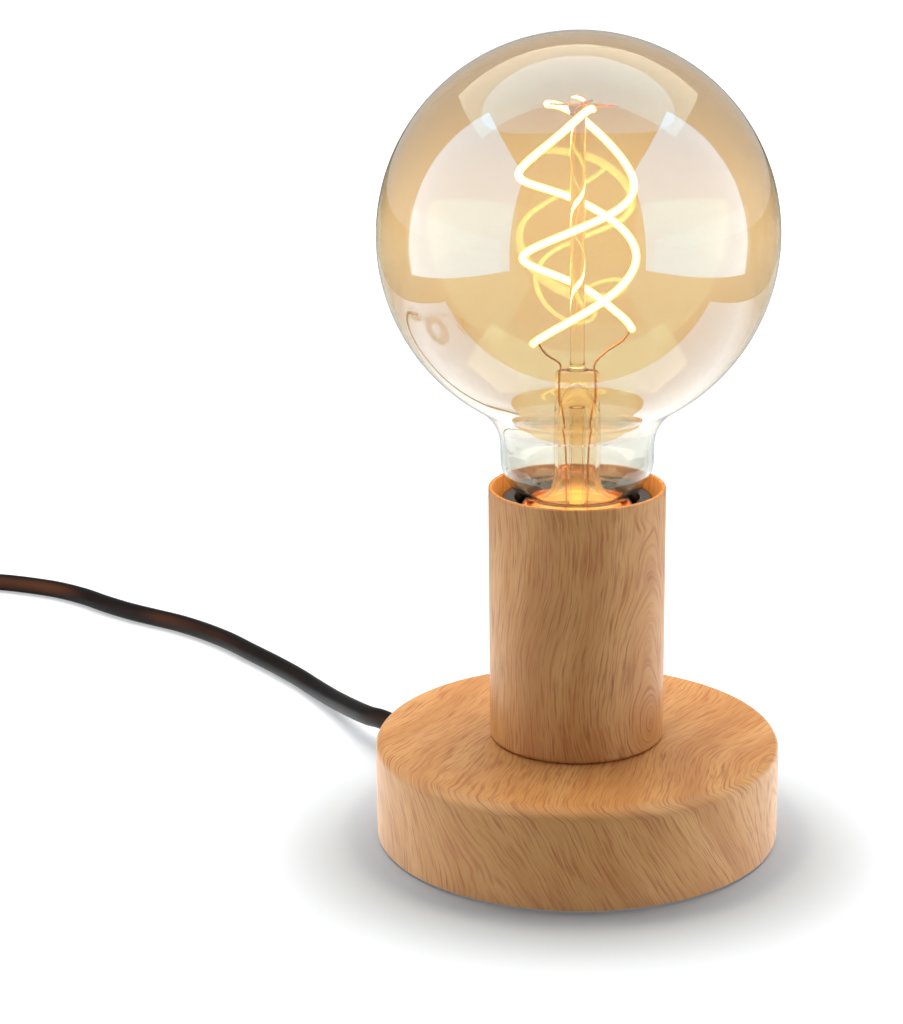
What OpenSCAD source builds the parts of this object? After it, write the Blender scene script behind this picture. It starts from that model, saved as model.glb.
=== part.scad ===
// Bare-bulb table lamp: a weighted disc base, a plain cylindrical sleeve round an E27 lampholder,
// a 95 mm globe bulb with two spiral filaments, and a two-core cord with a rocker switch and a plug.
// Millimetres, +Z up, origin at the centre of the underside. Azimuths are counted from +X towards +Y.

/* [Base] */
// Diameter of the base disc
base_d = 100; // [92:1:120]
// Height of the base's top face above the table
base_h = 25.5; // [24:0.5:40]
// Sheet thickness of the drawn base shell
base_wall = 1; // [0.6:0.1:1.6]
// Radius of the base shell's upper edge
base_edge_r = 2.5; // [2:0.25:6]
// Thickness of the soft pad under the base
pad_t = 0.8; // [0.6:0.1:3]
// Thickness of the plate that closes the base
plate_t = 1.2; // [0.8:0.1:2]
// Thickness of the cast ballast disc
ballast_t = 8; // [5:0.5:9]
// Distance of the plate screws from the centre
plate_screw_circle_r = 38; // [30:1:39]
// Thread diameter of the plate screws
plate_screw_d = 3; // [2.5:0.1:4]

/* [Sleeve] */
// Outer diameter of the sleeve
sleeve_d = 43; // [42.4:0.2:60]
// Height of the sleeve above the base
sleeve_h = 64; // [62:1:66]
// Sheet thickness of the sleeve
sleeve_wall = 1; // [0.6:0.1:1.2]
// Thickness of the sleeve's floor
sleeve_floor = 1.2; // [0.8:0.1:2]
// Radius of the sleeve's lower edge
sleeve_edge_r = 1.2; // [0.8:0.1:2]

/* [Threaded tube] */
// Outer diameter of the threaded tube
tube_d = 10; // [9.5:0.1:11]
// Bore of the threaded tube
tube_bore = 7.8; // [7:0.1:8.2]
// Width across the flats of the hexagon nut
nut_flats = 14; // [13.5:0.5:17]
// Thickness of the hexagon nut
nut_t = 3; // [2:0.25:4]
// Thickness of the toothed lock washer
washer_t = 1; // [0.6:0.1:1.4]

/* [Lampholder] */
// Outer diameter of the lampholder's body
holder_d = 39.2; // [38.6:0.1:39.6]
// Diameter of the lampholder's rim
holder_rim_d = 36.4; // [35.6:0.2:37.4]
// Height of the lampholder above the sleeve's floor
holder_h = 60.3; // [59.6:0.1:61]
// Wall of the lampholder's plastic parts
holder_wall = 2; // [1.6:0.1:2.2]
// Diameter of the contact carrier
carrier_d = 33; // [32:0.2:33.8]

/* [Lamp cap and screw shell] */
// Diameter of the lamp cap over its thread
cap_d = 26.4; // [26:0.05:26.5]
// Radial gap between the lamp cap and the lampholder's screw shell
cap_gap = 0.3; // [0.25:0.01:0.4]
// Sheet thickness of the lamp cap and the screw shell
cap_sheet = 0.4; // [0.3:0.05:0.5]
// Radial gap between the lamp cap and the opening in the lampholder's rim
mouth_gap = 2; // [1.6:0.1:2.5]

/* [Bulb] */
// Diameter of the glass globe
globe_d = 95; // [80:1:125]
// Length of the bulb from the top of the globe to the end contact
bulb_len = 140; // [136:0.5:146]
// Thickness of the glass
glass_t = 0.9; // [0.7:0.1:1.2]
// Diameter of the glass neck
neck_d = 37; // [34:0.5:38]
// Radius between the neck and the globe
neck_fillet_r = 12; // [8:0.5:14]
// Height of the lamp cap from the end contact to its upper edge
cap_h = 27; // [26.5:0.1:27.5]
// Diameter of the glass stem that carries the filaments
stem_d = 11.2; // [10:0.1:12]
// Height of the stem's pinch above the end contact
pinch_h = 51; // [47:0.5:53]
// Diameter of the glass rod inside the filaments
rod_d = 3.5; // [2.5:0.1:5]
// Length of the glass rod above the pinch
rod_h = 63; // [55:0.5:66]
// Radius of the spiral that the filaments follow
spiral_r = 13; // [10:0.25:14]
// Diameter of a filament
filament_d = 1.7; // [1.2:0.1:2]
// Diameter of the stem's wires
lead_wire_d = 0.5; // [0.4:0.05:0.8]

/* [Cord] */
// Diameter of the cord
cord_d = 5.4; // [5:0.1:5.6]
// Diameter of one insulated core
core_d = 2; // [1.6:0.1:2.4]
// Length of the bush's flexible nose outside the base
bush_nose = 20; // [14:1:20]
// Turns of cord in each of the coil's two layers
coil_turns = 3; // [2:1:3]
// Radius of the innermost turn's centre line
coil_inner_r = 22.5; // [22:0.5:24]
// Free gap between neighbouring turns and layers
coil_gap = 0.5; // [0.45:0.05:0.8]

/* [Cord switch] */
// Length of the switch housing
switch_len = 62; // [60:1:62]
// Width of the switch housing
switch_w = 24; // [22:1:28]
// Height of the switch housing
switch_h = 16; // [15:0.5:20]
// Wall of the switch housing
switch_wall = 1.6; // [1.2:0.1:2]
// Length of the rocker
rocker_len = 20; // [18:1:24]
// Width of the rocker
rocker_w = 10; // [8:1:12]
// Tilt of the rocker to each side
rocker_tilt = 8; // [5:1:9]

/* [Plug] */
// Width of the plug's face
plug_w = 35; // [33:0.5:36]
// Thickness of the plug
plug_t = 13.7; // [12.5:0.1:14.5]
// Length of the plug's body
plug_len = 34; // [30:1:38]
// Diameter of a plug pin
pin_d = 4; // [3.8:0.1:4.2]
// Length of a plug pin
pin_len = 19; // [18:0.5:20]
// Distance between the plug pins
pin_spacing = 18.6; // [17.5:0.1:19.2]

/* [Hidden] */
$fn = 72;

fit = 0.05;            // radial gap of pieces that slide into each other
slip = 0.4;            // radial gap of pieces that are dropped in with room
over = 1;              // how far a cutting shape runs past the face it cuts

// Levels, counted up from the table
plate_z = pad_t;
skirt_z = 0.75 * pad_t;
shell_roof_z = base_h - base_wall;
ballast_z = shell_roof_z - ballast_t;
washer_z = ballast_z - washer_t;
nut_z = washer_z - nut_t;
tube_z = nut_z - 2;
sleeve_floor_z = base_h + sleeve_floor;
holder_rim_z = sleeve_floor_z + holder_h;
tip_z = holder_rim_z - cap_h - 2;
globe_top_z = tip_z + bulb_len;
globe_r = globe_d / 2;
globe_z = globe_top_z - globe_r;

// Base
plate_d = base_d - 2 * base_wall - 2 * slip;
ballast_d = plate_d - 1.2;
hole_d = tube_d + 0.4;
exit_azimuth = 135;                       // where the cord leaves the base
cord_exit_z = plate_z + plate_t + 6;      // height of the cord's axis there
post_d = 9;
post_azimuths = [for (k = [0:2]) exit_azimuth + 60 + 120 * k];
screw_head_d = 2 * plate_screw_d;

// Lampholder
joint_z = sleeve_floor_z + 23.3;          // where its dome and shell meet
dome_r = holder_d / 2;
dome_z = joint_z - 7;                     // centre of the dome's ball
tube_top_z = sleeve_floor_z + 8.8;
boss_d = tube_d + 6;
carrier_bottom_z = tip_z - 11;
well_floor_z = tip_z - 3.5;
carrier_top_z = tip_z + 2.6;
well_d = 20;
spigot_r = dome_r - 1.2;
spigot_h = 5;                             // depth of the shell's spigot in the dome
terminal_x = 9.5;
terminal_w = 6;
terminal_t = 5;
rivet_r = 1;
neutral_rivet_x = cap_d / 2 - 1.1;
screw_shell_r = cap_d / 2 + cap_gap + cap_sheet;
mouth_r = cap_d / 2 + mouth_gap;
strip_t = 0.5;
contact_gap = 0.1;                        // the lamp's end contact over the spring strip
strip_w = 6;

// Lamp cap, the bulb's end from tip to neck
cap_top_z = tip_z + cap_h;
cap_bottom_z = tip_z + 5;
cap_foot_r = cap_d / 2 - 2.3;
contact_t = 1.2;                          // thickness of the end contact
shell_top_z = tip_z + 23;
cap_bore_r = cap_d / 2 - cap_sheet;
tail_r = cap_bore_r - 0.5;                // outer radius of the glass inside the cap
tail_z = cap_top_z - 5;
board_t = 1.2;
board_top_z = tail_z - 1;

// Glass neck: globe, hollow fillet, straight neck, round shoulder, tail
neck_r = neck_d / 2;
fillet_x = neck_r + neck_fillet_r;
fillet_z = globe_z - sqrt(pow(globe_r + neck_fillet_r, 2) - pow(fillet_x, 2));
fillet_share = globe_r / (globe_r + neck_fillet_r);
fillet_end = [fillet_x * fillet_share, globe_z - (globe_z - fillet_z) * fillet_share];
shoulder_r = 10;
shoulder_z = cap_top_z + 11.5;
shoulder_turn = acos((tail_r - neck_r + shoulder_r) / shoulder_r);

// Stem and what it carries
flare_r = 8;
flare_z = shoulder_z - 4.5;
pinch_z = tip_z + pinch_h;
pinch_top_z = pinch_z + 9;
rod_top_z = pinch_top_z + rod_h;
stem_wall = 1;
button_r = rod_d / 2 + 0.7;

// Filaments: height as a share of the rod's, azimuth, and distance from the axis as a share of spiral_r
filament_a_keys = [[1, 160, 0.585], [0.952, 95, 0.731], [0.714, 0, 1], [0.576, -90, 1.015],
                   [0.429, -180, 1], [0.289, -270, 0.969], [0.197, -315, 1], [0.149, -352, 1.015]];
filament_b_keys = [[1, -62, 0.585], [0.968, -90, 0.692], [0.749, -180, 1.062], [0.613, -270, 1.038],
                   [0.437, -360, 1.062], [0.249, -450, 1], [0.124, -508, 0.969]];
rings_between_keys = 7;
weld = 0.25;                              // how far a wire's end is sunk in the filament

// Cord route after the bush: across the table to the switch, then a quarter turn more into the coil
coil_pitch = cord_d + coil_gap;
coil_outer_r = coil_inner_r + coil_turns * coil_pitch;
tie_t = 0.6;
cord_z = cord_d / 2;
coil_z = cord_z + tie_t;
lane_x = -256;                            // the line of the switch and of the coil's left side
coil_y = 30;
switch_y = 114;
switch_split_z = switch_h / 2 - 0.5;      // where its two halves meet, at the cord's axis
switch_cord_z = switch_split_z;
switch_grip = 6;                          // length of cord inside each end of the switch
nose_end = (base_d / 2 + bush_nose) * [cos(exit_azimuth), sin(exit_azimuth)];
cord_lead_route = [
    [nose_end.x, nose_end.y, cord_exit_z], [-53.5, 53.5, cord_exit_z], [-57, 58, 7.1], [-61, 65, 5.9],
    [-65, 72.5, 4.7],
    [-69.5, 81, 3.5], [-75.5, 91.5, cord_z], [-81.5, 100.5, cord_z], [-89, 110.5, cord_z],
    [-97.5, 121, cord_z], [-106, 131.5, cord_z], [-115, 140.5, cord_z], [-123.5, 147.5, cord_z],
    [-132, 153, cord_z], [-140.5, 158.5, cord_z], [-149.5, 165.5, cord_z], [-158.5, 173.5, cord_z],
    [-168, 180, cord_z], [-178, 184.5, cord_z], [-189, 188, cord_z], [-201, 190, cord_z],
    [-213, 189.5, cord_z], [-225, 186.5, cord_z], [-236, 180.5, cord_z], [-245, 172, 3.6],
    [-251, 162.5, 5.4], [-255, 153, 7], [lane_x, switch_y + switch_len / 2, switch_cord_z],
    [lane_x, switch_y + switch_len / 2 - switch_grip, switch_cord_z]
];
cord_link_route = [
    [lane_x, switch_y - switch_len / 2 + switch_grip, switch_cord_z],
    [lane_x, switch_y - switch_len / 2, switch_cord_z], [lane_x, 73, 6.6], [lane_x, 62, 5],
    [lane_x, 52, 4], [lane_x, 42, coil_z], [lane_x, coil_y + cord_d, coil_z]
];
plug_y = -62;
plug_x = -226;
plug_grip = 8;                            // length of cord inside the plug
cord_tail_route = [
    [lane_x, coil_y - cord_d, coil_z + coil_pitch], [lane_x, 18, coil_z + coil_pitch], [lane_x, 7, 8.6],
    [lane_x, -5, 6.2], [lane_x, -17, 4], [lane_x, -28, cord_z], [-254.5, -38, cord_z], [-250.5, -47, 3.2],
    [-244, -55, 4.4], [-236, -60.5, 5.8], [plug_x - 3, plug_y, plug_t / 2], [plug_x, plug_y, plug_t / 2],
    [plug_x + plug_grip, plug_y, plug_t / 2]
];

// Switch
rocker_pin_d = 2.4;
rocker_z = switch_h - 3.4;
rocker_r = 24;                            // radius of the dished top
switch_end_w = 11;
switch_screw_d = 2.6;
switch_screw = [15, 7];                   // one screw there and one diagonally opposite

// ---------------------------------------------------------------- curves and tubes

function unit(v) = v / norm(v);
function clamp(x) = max(0, min(1, x));
function ramp(x, from, to) = let (t = clamp((x - from) / (to - from))) t * t * (3 - 2 * t);

// Directions along a line of points, and a side direction for each that never twists
function headings(p) = [
    for (i = [0:len(p) - 1]) unit(p[min(i + 1, len(p) - 1)] - p[max(i - 1, 0)])
];
function square_to(n, t) = unit(n - (n * t) * t);
function sides_of(t) = [
    for (i = 0, n = square_to(abs(t[0].z) < 0.9 ? [0, 0, 1] : [1, 0, 0], t[0]);
         i < len(t);
         i = i + 1, n = i < len(t) ? square_to(n, t[i]) : n) n
];

// A smooth line through the keys, with steps points from one key to the next
function blend(a, b, c, d, t) = (2 * b + (c - a) * t + (2 * a - 5 * b + 4 * c - d) * t * t
    + (3 * b - a - 3 * c + d) * t * t * t) / 2;
function smooth(keys, steps) = let (last = len(keys) - 1) concat(
    [for (i = [0:last - 1], s = [0:steps - 1])
        blend(keys[max(i - 1, 0)], keys[i], keys[i + 1], keys[min(i + 2, last)], s / steps)],
    [keys[last]]
);

// Triangles that close a stack of equal rings into a solid
function skin(rings, sides) = concat(
    [for (r = [0:rings - 2], s = [0:sides - 1]) let (a = r * sides + s, b = r * sides + (s + 1) % sides)
        each [[a, b + sides, b], [a, a + sides, b + sides]]],
    [for (s = [1:sides - 2]) [0, s, s + 1]],
    [for (s = [1:sides - 2]) let (top = (rings - 1) * sides) [top, top + s + 1, top + s]]
);

// A round tube of diameter d whose centre line is the list of points
module tube_along(points, d, sides = 8) {
    t = headings(points);
    n = sides_of(t);
    polyhedron(
        [for (i = [0:len(points) - 1], s = [0:sides - 1]) let (a = 360 * s / sides)
            points[i] + d / 2 * (cos(a) * n[i] + sin(a) * cross(t[i], n[i]))],
        skin(len(points), sides),
        convexity = 10
    );
}

module ring(outer_d, inner_d, h) {
    difference() {
        cylinder(d = outer_d, h = h);
        translate([0, 0, -over]) cylinder(d = inner_d, h = h + 2 * over);
    }
}

// Where the cord passes the wall of the base, +X pointing out
module at_exit() {
    rotate([0, 0, exit_azimuth]) translate([0, 0, cord_exit_z]) children();
}

// ---------------------------------------------------------------- base

// Half section of a cup standing upside down, with its closed end and round edge on top
module cup_half(r, h, edge) {
    square([r - edge, h]);
    square([r, h - edge]);
    translate([r - edge, h - edge]) intersection() {
        circle(edge);
        square(edge);
    }
}

module base_shell() {
    color("burlywood") difference() {
        translate([0, 0, skirt_z]) rotate_extrude($fn = 128) difference() {
            cup_half(base_d / 2, base_h - skirt_z, base_edge_r);
            translate([0, -over])
                cup_half(base_d / 2 - base_wall, shell_roof_z - skirt_z + over, base_edge_r - base_wall);
        }
        cylinder(d = hole_d, h = base_h + over);
        at_exit() rotate([0, 90, 0]) cylinder(d = cord_d + 3.6, h = base_d);
    }
}

module ballast() {
    chamfer = base_edge_r;
    color("dimgray") difference() {
        union() {
            translate([0, 0, ballast_z]) cylinder(d = ballast_d, h = ballast_t - chamfer);
            translate([0, 0, shell_roof_z - chamfer])
                cylinder(d1 = ballast_d, d2 = ballast_d - 2 * chamfer, h = chamfer);
            for (a = post_azimuths) rotate([0, 0, a]) translate([plate_screw_circle_r, 0, plate_z + plate_t])
                cylinder(d = post_d, h = ballast_z - plate_z - plate_t + over);
            at_exit() translate([clamp_x - clamp_l / 2, -clamp_w / 2, cord_d / 2])
                cube([clamp_l, clamp_w, ballast_z - cord_exit_z - cord_d / 2 + over]);
        }
        cylinder(d = hole_d, h = base_h);
        for (a = post_azimuths) rotate([0, 0, a]) translate([plate_screw_circle_r, 0, 0])
            cylinder(d = plate_screw_d + 2 * fit, h = plate_z + plate_t + screw_reach);
        at_exit() clamp_screw_places() translate([0, 0, -over]) cylinder(d = plate_screw_d + 2 * fit, h = 10);
    }
}

screw_reach = 9;                          // thread of a plate screw inside its post

module bottom_plate() {
    color("silver") difference() {
        translate([0, 0, plate_z]) cylinder(d = plate_d, h = plate_t);
        for (a = post_azimuths) rotate([0, 0, a]) translate([plate_screw_circle_r, 0, plate_z - over])
            cylinder(d = plate_screw_d + 2 * slip, h = plate_t + 2 * over);
        for (a = post_azimuths) rotate([0, 0, a]) translate([plate_screw_circle_r, 0, plate_z - over])
            cylinder(d = screw_head_d + 2 * fit, h = over + head_sink);
    }
}

head_sink = 0.6;                          // depth of the plate's seat for a screw head

module plate_screws() {
    color("gainsboro") for (a = post_azimuths) rotate([0, 0, a])
        translate([plate_screw_circle_r, 0, plate_z + head_sink]) difference() {
            union() {
                translate([0, 0, -head_sink]) cylinder(d = screw_head_d, h = head_sink);
                cylinder(d = plate_screw_d, h = plate_t - head_sink + screw_reach - 1);
            }
            for (turn = [0, 90]) rotate([0, 0, turn])
                translate([-1.6, -0.4, -head_sink - over]) cube([3.2, 0.8, over + 0.3]);
        }
}

module base_pad() {
    color("darkslategray") cylinder(d = plate_d - 2, h = pad_t);
}

// ---------------------------------------------------------------- sleeve and threaded tube

module sleeve() {
    color("burlywood") translate([0, 0, base_h]) difference() {
        rotate_extrude($fn = 96) difference() {
            translate([0, sleeve_h]) mirror([0, 1]) cup_half(sleeve_d / 2, sleeve_h, sleeve_edge_r);
            translate([0, sleeve_floor]) square([sleeve_d / 2 - sleeve_wall, sleeve_h]);
        }
        translate([0, 0, -over]) cylinder(d = hole_d, h = sleeve_floor + 2 * over);
    }
}

module threaded_tube() {
    color("lightgray") translate([0, 0, tube_z]) ring(tube_d, tube_bore, tube_top_z - tube_z);
}

module tube_nut() {
    corner = nut_flats / cos(30);
    color("silver") translate([0, 0, nut_z]) difference() {
        intersection() {
            cylinder(d = corner, h = nut_t, $fn = 6);
            rotate_extrude() polygon([[0, 0], [nut_flats / 2, 0], [corner / 2, nut_t / 6],
                [corner / 2, nut_t * 5 / 6], [nut_flats / 2, nut_t], [0, nut_t]]);
        }
        translate([0, 0, -over]) cylinder(d = tube_d + 2 * fit, h = nut_t + 2 * over);
    }
}

module lock_washer() {
    teeth = 10;
    color("silver") translate([0, 0, washer_z]) difference() {
        cylinder(d = nut_flats + 5, h = washer_t);
        translate([0, 0, -over]) cylinder(d = tube_d + 2 * slip, h = washer_t + 2 * over);
        for (k = [0:teeth - 1]) rotate([0, 0, 360 * k / teeth])
            translate([nut_flats / 2 + 1, -0.9, -over]) cube([over + 2, 1.8, washer_t + 2 * over]);
    }
}

module tube_end_bush() {
    color("black") translate([0, 0, tube_z]) {
        translate([0, 0, -1]) ring(tube_d, tube_bore - 1.6, 1);
        ring(tube_bore - 2 * fit, tube_bore - 1.6, 2);
    }
}

// ---------------------------------------------------------------- lampholder

module holder_dome() {
    bore_r = carrier_d / 2 + slip;
    color("#1c1b1a") difference() {
        union() {
            rotate_extrude($fn = 96) difference() {
                ball_half(dome_r, sleeve_floor_z);
                difference() {
                    ball_half(dome_r - holder_wall, sleeve_floor_z + holder_wall);
                    translate([carrier_d / 2 - 1.5, dome_z]) square([dome_r, carrier_bottom_z - dome_z]);
                }
                translate([bore_r - fit, joint_z - spigot_h])
                    square([spigot_r - bore_r + 2 * fit, spigot_h + over]);
            }
            translate([0, 0, sleeve_floor_z]) cylinder(d = boss_d, h = tube_top_z + 1.2 - sleeve_floor_z);
        }
        translate([0, 0, sleeve_floor_z - over])
            cylinder(d = tube_d + 2 * fit, h = tube_top_z + fit - sleeve_floor_z + over);
        translate([0, 0, tube_top_z]) cylinder(d = tube_bore, h = 5);
        translate([0, 0, grub_z]) rotate([0, 90, -90]) cylinder(d = grub_d + 2 * fit, h = dome_r);
    }
}

grub_d = 3;
grub_len = 4;
grub_z = sleeve_floor_z + 4.5;

// Half section of a ball with a cylinder on it, up to the joint, cut flat at from_z
module ball_half(r, from_z) {
    intersection() {
        union() {
            translate([0, dome_z]) circle(r, $fn = 96);
            translate([0, dome_z]) square([r, joint_z - dome_z + (r < dome_r ? over : 0)]);
        }
        translate([0, from_z]) square([r, joint_z - from_z + (r < dome_r ? over : 0)]);
    }
}

module holder_grub_screw() {
    color("silver") translate([0, 0, grub_z]) rotate([0, 90, -90]) translate([0, 0, tube_d / 2 + fit])
        difference() {
            cylinder(d = grub_d, h = grub_len);
            translate([-grub_d / 2, -0.3, grub_len - 0.8]) cube([grub_d, 0.6, over + 1]);
        }
}

module holder_shell() {
    bore_r = carrier_d / 2 + slip;
    rim_r = holder_rim_d / 2;
    lip_t = 2.4;
    taper_z = holder_rim_z - 12;
    rim_edge = 0.8;
    color("#1c1b1a") rotate_extrude($fn = 96) difference() {
        union() {
            translate([0, joint_z - spigot_h + fit]) square([spigot_r, spigot_h]);
            polygon([[0, joint_z], [dome_r, joint_z], [dome_r, taper_z], [rim_r, holder_rim_z - rim_edge],
                [rim_r - rim_edge, holder_rim_z - rim_edge], [0, holder_rim_z - rim_edge]]);
            translate([rim_r - rim_edge, holder_rim_z - rim_edge]) circle(rim_edge, $fn = 24);
            translate([0, holder_rim_z - 2 * rim_edge]) square([rim_r - rim_edge, 2 * rim_edge]);
        }
        translate([0, joint_z - spigot_h]) square([bore_r, carrier_top_z - joint_z + spigot_h]);
        square([screw_shell_r + slip, holder_rim_z]);
        translate([0, carrier_top_z + 1.6])
            square([bore_r, holder_rim_z - lip_t - carrier_top_z - 1.6]);
        polygon([[0, holder_rim_z - lip_t - over], [mouth_r - 0.6, holder_rim_z - lip_t - over],
            [mouth_r - 0.6, holder_rim_z - lip_t], [mouth_r, holder_rim_z + 0.01],
            [0, holder_rim_z + 0.01]]);
    }
}

module contact_carrier() {
    color("whitesmoke") difference() {
        translate([0, 0, carrier_bottom_z]) cylinder(d = carrier_d, h = carrier_top_z - carrier_bottom_z);
        translate([0, 0, well_floor_z]) cylinder(d = well_d, h = carrier_top_z - well_floor_z + over);
        for (x = [terminal_x - 1.5, -neutral_rivet_x]) translate([x, 0, carrier_bottom_z - over])
            cylinder(r = rivet_r + fit, h = carrier_top_z - carrier_bottom_z + 2 * over);
    }
}

module screw_shell() {
    color("silver") translate([0, 0, carrier_top_z]) difference() {
        cylinder(r = screw_shell_r, h = shell_top_z - carrier_top_z);
        translate([0, 0, cap_sheet]) cylinder(r = screw_shell_r - cap_sheet, h = shell_top_z - carrier_top_z);
        translate([0, 0, -over]) cylinder(d = well_d + 1, h = cap_sheet + 2 * over);
        translate([-neutral_rivet_x, 0, -over]) cylinder(r = rivet_r + fit, h = cap_sheet + 2 * over);
    }
}

// A flat spring strip that bows up from its rivet to the lamp's end contact
module centre_contact() {
    bow_r = 30;
    reach = terminal_x - 1.5;
    top_z = tip_z - contact_gap;
    rise = top_z - well_floor_z;
    color("gold") {
        intersection() {
            translate([0, strip_w / 2, top_z - bow_r]) rotate([90, 0, 0]) difference() {
                cylinder(r = bow_r, h = strip_w, $fn = 128);
                translate([0, 0, -over]) cylinder(r = bow_r - strip_t, h = strip_w + 2 * over, $fn = 128);
            }
            translate([-6, -strip_w, well_floor_z]) cube([6 + reach, 2 * strip_w, rise + over]);
        }
        translate([reach - strip_t, -strip_w / 2, well_floor_z])
            cube([strip_t, strip_w, rise - bow_r + sqrt(pow(bow_r, 2) - pow(reach, 2)) - 0.05]);
        translate([reach - 3, -strip_w / 2, well_floor_z]) cube([4.5, strip_w, strip_t]);
        translate([reach, 0, carrier_bottom_z]) cylinder(r = rivet_r, h = well_floor_z - carrier_bottom_z);
    }
}

module side_contact() {
    color("gold") translate([-neutral_rivet_x, 0, carrier_bottom_z]) {
        cylinder(r = rivet_r, h = carrier_top_z + cap_sheet - carrier_bottom_z);
        translate([0, 0, carrier_top_z + cap_sheet - carrier_bottom_z])
            cylinder(r1 = rivet_r + 0.2, r2 = rivet_r - 0.3, h = 0.5);
    }
}

// A brass block under the carrier, with a hole for the core and a screw that grips it
module terminal(x) {
    color("gold") translate([x, 0, carrier_bottom_z - terminal_t]) difference() {
        translate([-terminal_w / 2, -terminal_w / 2, 0]) cube([terminal_w, terminal_w, terminal_t]);
        translate([0, 0, -over]) cylinder(d = core_d + 2 * fit, h = 3.4 + over);
        translate([0, 0, terminal_t / 2]) rotate([90, 0, 0])
            cylinder(d = 2.6 + 2 * fit, h = terminal_w / 2 + over);
    }
}

module live_terminal() { terminal(terminal_x); }
module neutral_terminal() { terminal(-terminal_x); }

module terminal_screws() {
    color("silver") for (x = [-terminal_x, terminal_x])
        translate([x, -core_d / 2 - fit, carrier_bottom_z - terminal_t / 2]) rotate([90, 0, 0]) difference() {
            union() {
                cylinder(d = 2.6, h = terminal_w / 2 - core_d / 2);
                translate([0, 0, terminal_w / 2 - core_d / 2]) cylinder(d = 4, h = 1.4);
            }
            translate([-3, -0.35, terminal_w / 2 - core_d / 2 + 0.7]) cube([6, 0.7, over + 1]);
        }
}

// One insulated core: out of the cord's end, round under the tube, up its bore and to a terminal
module core(side) {
    gap = core_d / 2 + 0.15;
    up = [cos(exit_azimuth), sin(exit_azimuth)];
    across = [up.y, -up.x];
    lane = function (x, drop) concat(up * x + across * gap * side, [cord_exit_z - drop]);
    tube_place = gap * side * [1, 0];
    terminal_bottom_z = carrier_bottom_z - terminal_t;
    keys = [
        lane(jacket_end_x - 0.05, 0), lane(jacket_end_x - 2, 0), lane(9, 1.2), lane(5.5, 1.9), lane(2.2, 1),
        concat(tube_place, [tube_z - 0.4]), concat(tube_place, [tube_z + 6]),
        concat(tube_place, [tube_top_z + 1.5]), [side * 3, 0, tube_top_z + 3.6],
        [side * (terminal_x - 2.5), 0, tube_top_z + 3.6], [side * terminal_x, 0, terminal_bottom_z - 1.8],
        [side * terminal_x, 0, terminal_bottom_z - 0.2], [side * terminal_x, 0, terminal_bottom_z + 2.6]
    ];
    tube_along(smooth(keys, 4), core_d);
}

module live_core() { color("saddlebrown") core(1); }
module neutral_core() { color("steelblue") core(-1); }

// ---------------------------------------------------------------- cord inside the base

jacket_end_x = 14;                        // where the cord's jacket is stripped back to
clamp_x = 27;
clamp_l = 8;
clamp_w = 24;
clamp_screw_y = 8;
clamp_h = cord_d / 2 + 3.4;

module clamp_screw_places() {
    for (y = [-clamp_screw_y, clamp_screw_y]) translate([clamp_x, y, 0]) children();
}

module cord_end() {
    color("#1d1a18") at_exit() translate([jacket_end_x, 0, 0]) rotate([0, 90, 0])
        cylinder(d = cord_d, h = base_d / 2 + bush_nose - jacket_end_x);
}

module cord_clamp() {
    color("ivory") at_exit() difference() {
        translate([clamp_x - clamp_l / 2, -clamp_w / 2, -3.4]) cube([clamp_l, clamp_w, clamp_h - 0.4]);
        translate([0, 0, 0]) rotate([0, 90, 0]) cylinder(d = cord_d + 2 * fit, h = base_d);
        translate([0, -cord_d / 2 - fit, 0]) cube([base_d, cord_d + 2 * fit, 10]);
        clamp_screw_places() translate([0, 0, -5]) cylinder(d = plate_screw_d + 2 * slip, h = 15);
        clamp_screw_places() translate([0, 0, -5]) cylinder(d = screw_head_d, h = 3.2);
    }
}

module clamp_screws() {
    color("gainsboro") at_exit() clamp_screw_places() {
        translate([0, 0, -1.8 - 1.4]) cylinder(d = screw_head_d - 2 * fit, h = 1.4);
        translate([0, 0, -1.8]) cylinder(d = plate_screw_d, h = 9.8);
    }
}

// Snap-in bush: a flange each side of the wall, and a nose that tapers along the cord
module cord_bush() {
    wall_out = base_d / 2;
    seat_d = cord_d + 3.4;
    color("#1d1a18") at_exit() rotate([0, 90, 0]) rotate_extrude($fn = 48) difference() {
        polygon([[0, wall_out - 5], [seat_d / 2 + 0.4, wall_out - 5], [seat_d / 2 + 1.2, wall_out - 2.2],
            [seat_d / 2, wall_out - 1.8], [seat_d / 2, wall_out + 0.2], [seat_d / 2 + 1.6, wall_out + 0.2],
            [seat_d / 2 + 1.6, wall_out + 1.6], [seat_d / 2 + 0.9, wall_out + 2.2],
            [seat_d / 2 - 0.1, wall_out + 2.4], [cord_d / 2 + 0.7, wall_out + bush_nose],
            [0, wall_out + bush_nose]]);
        translate([0, wall_out - 6]) square([cord_d / 2 + fit, bush_nose + 8]);
    }
}

// ---------------------------------------------------------------- bulb

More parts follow.
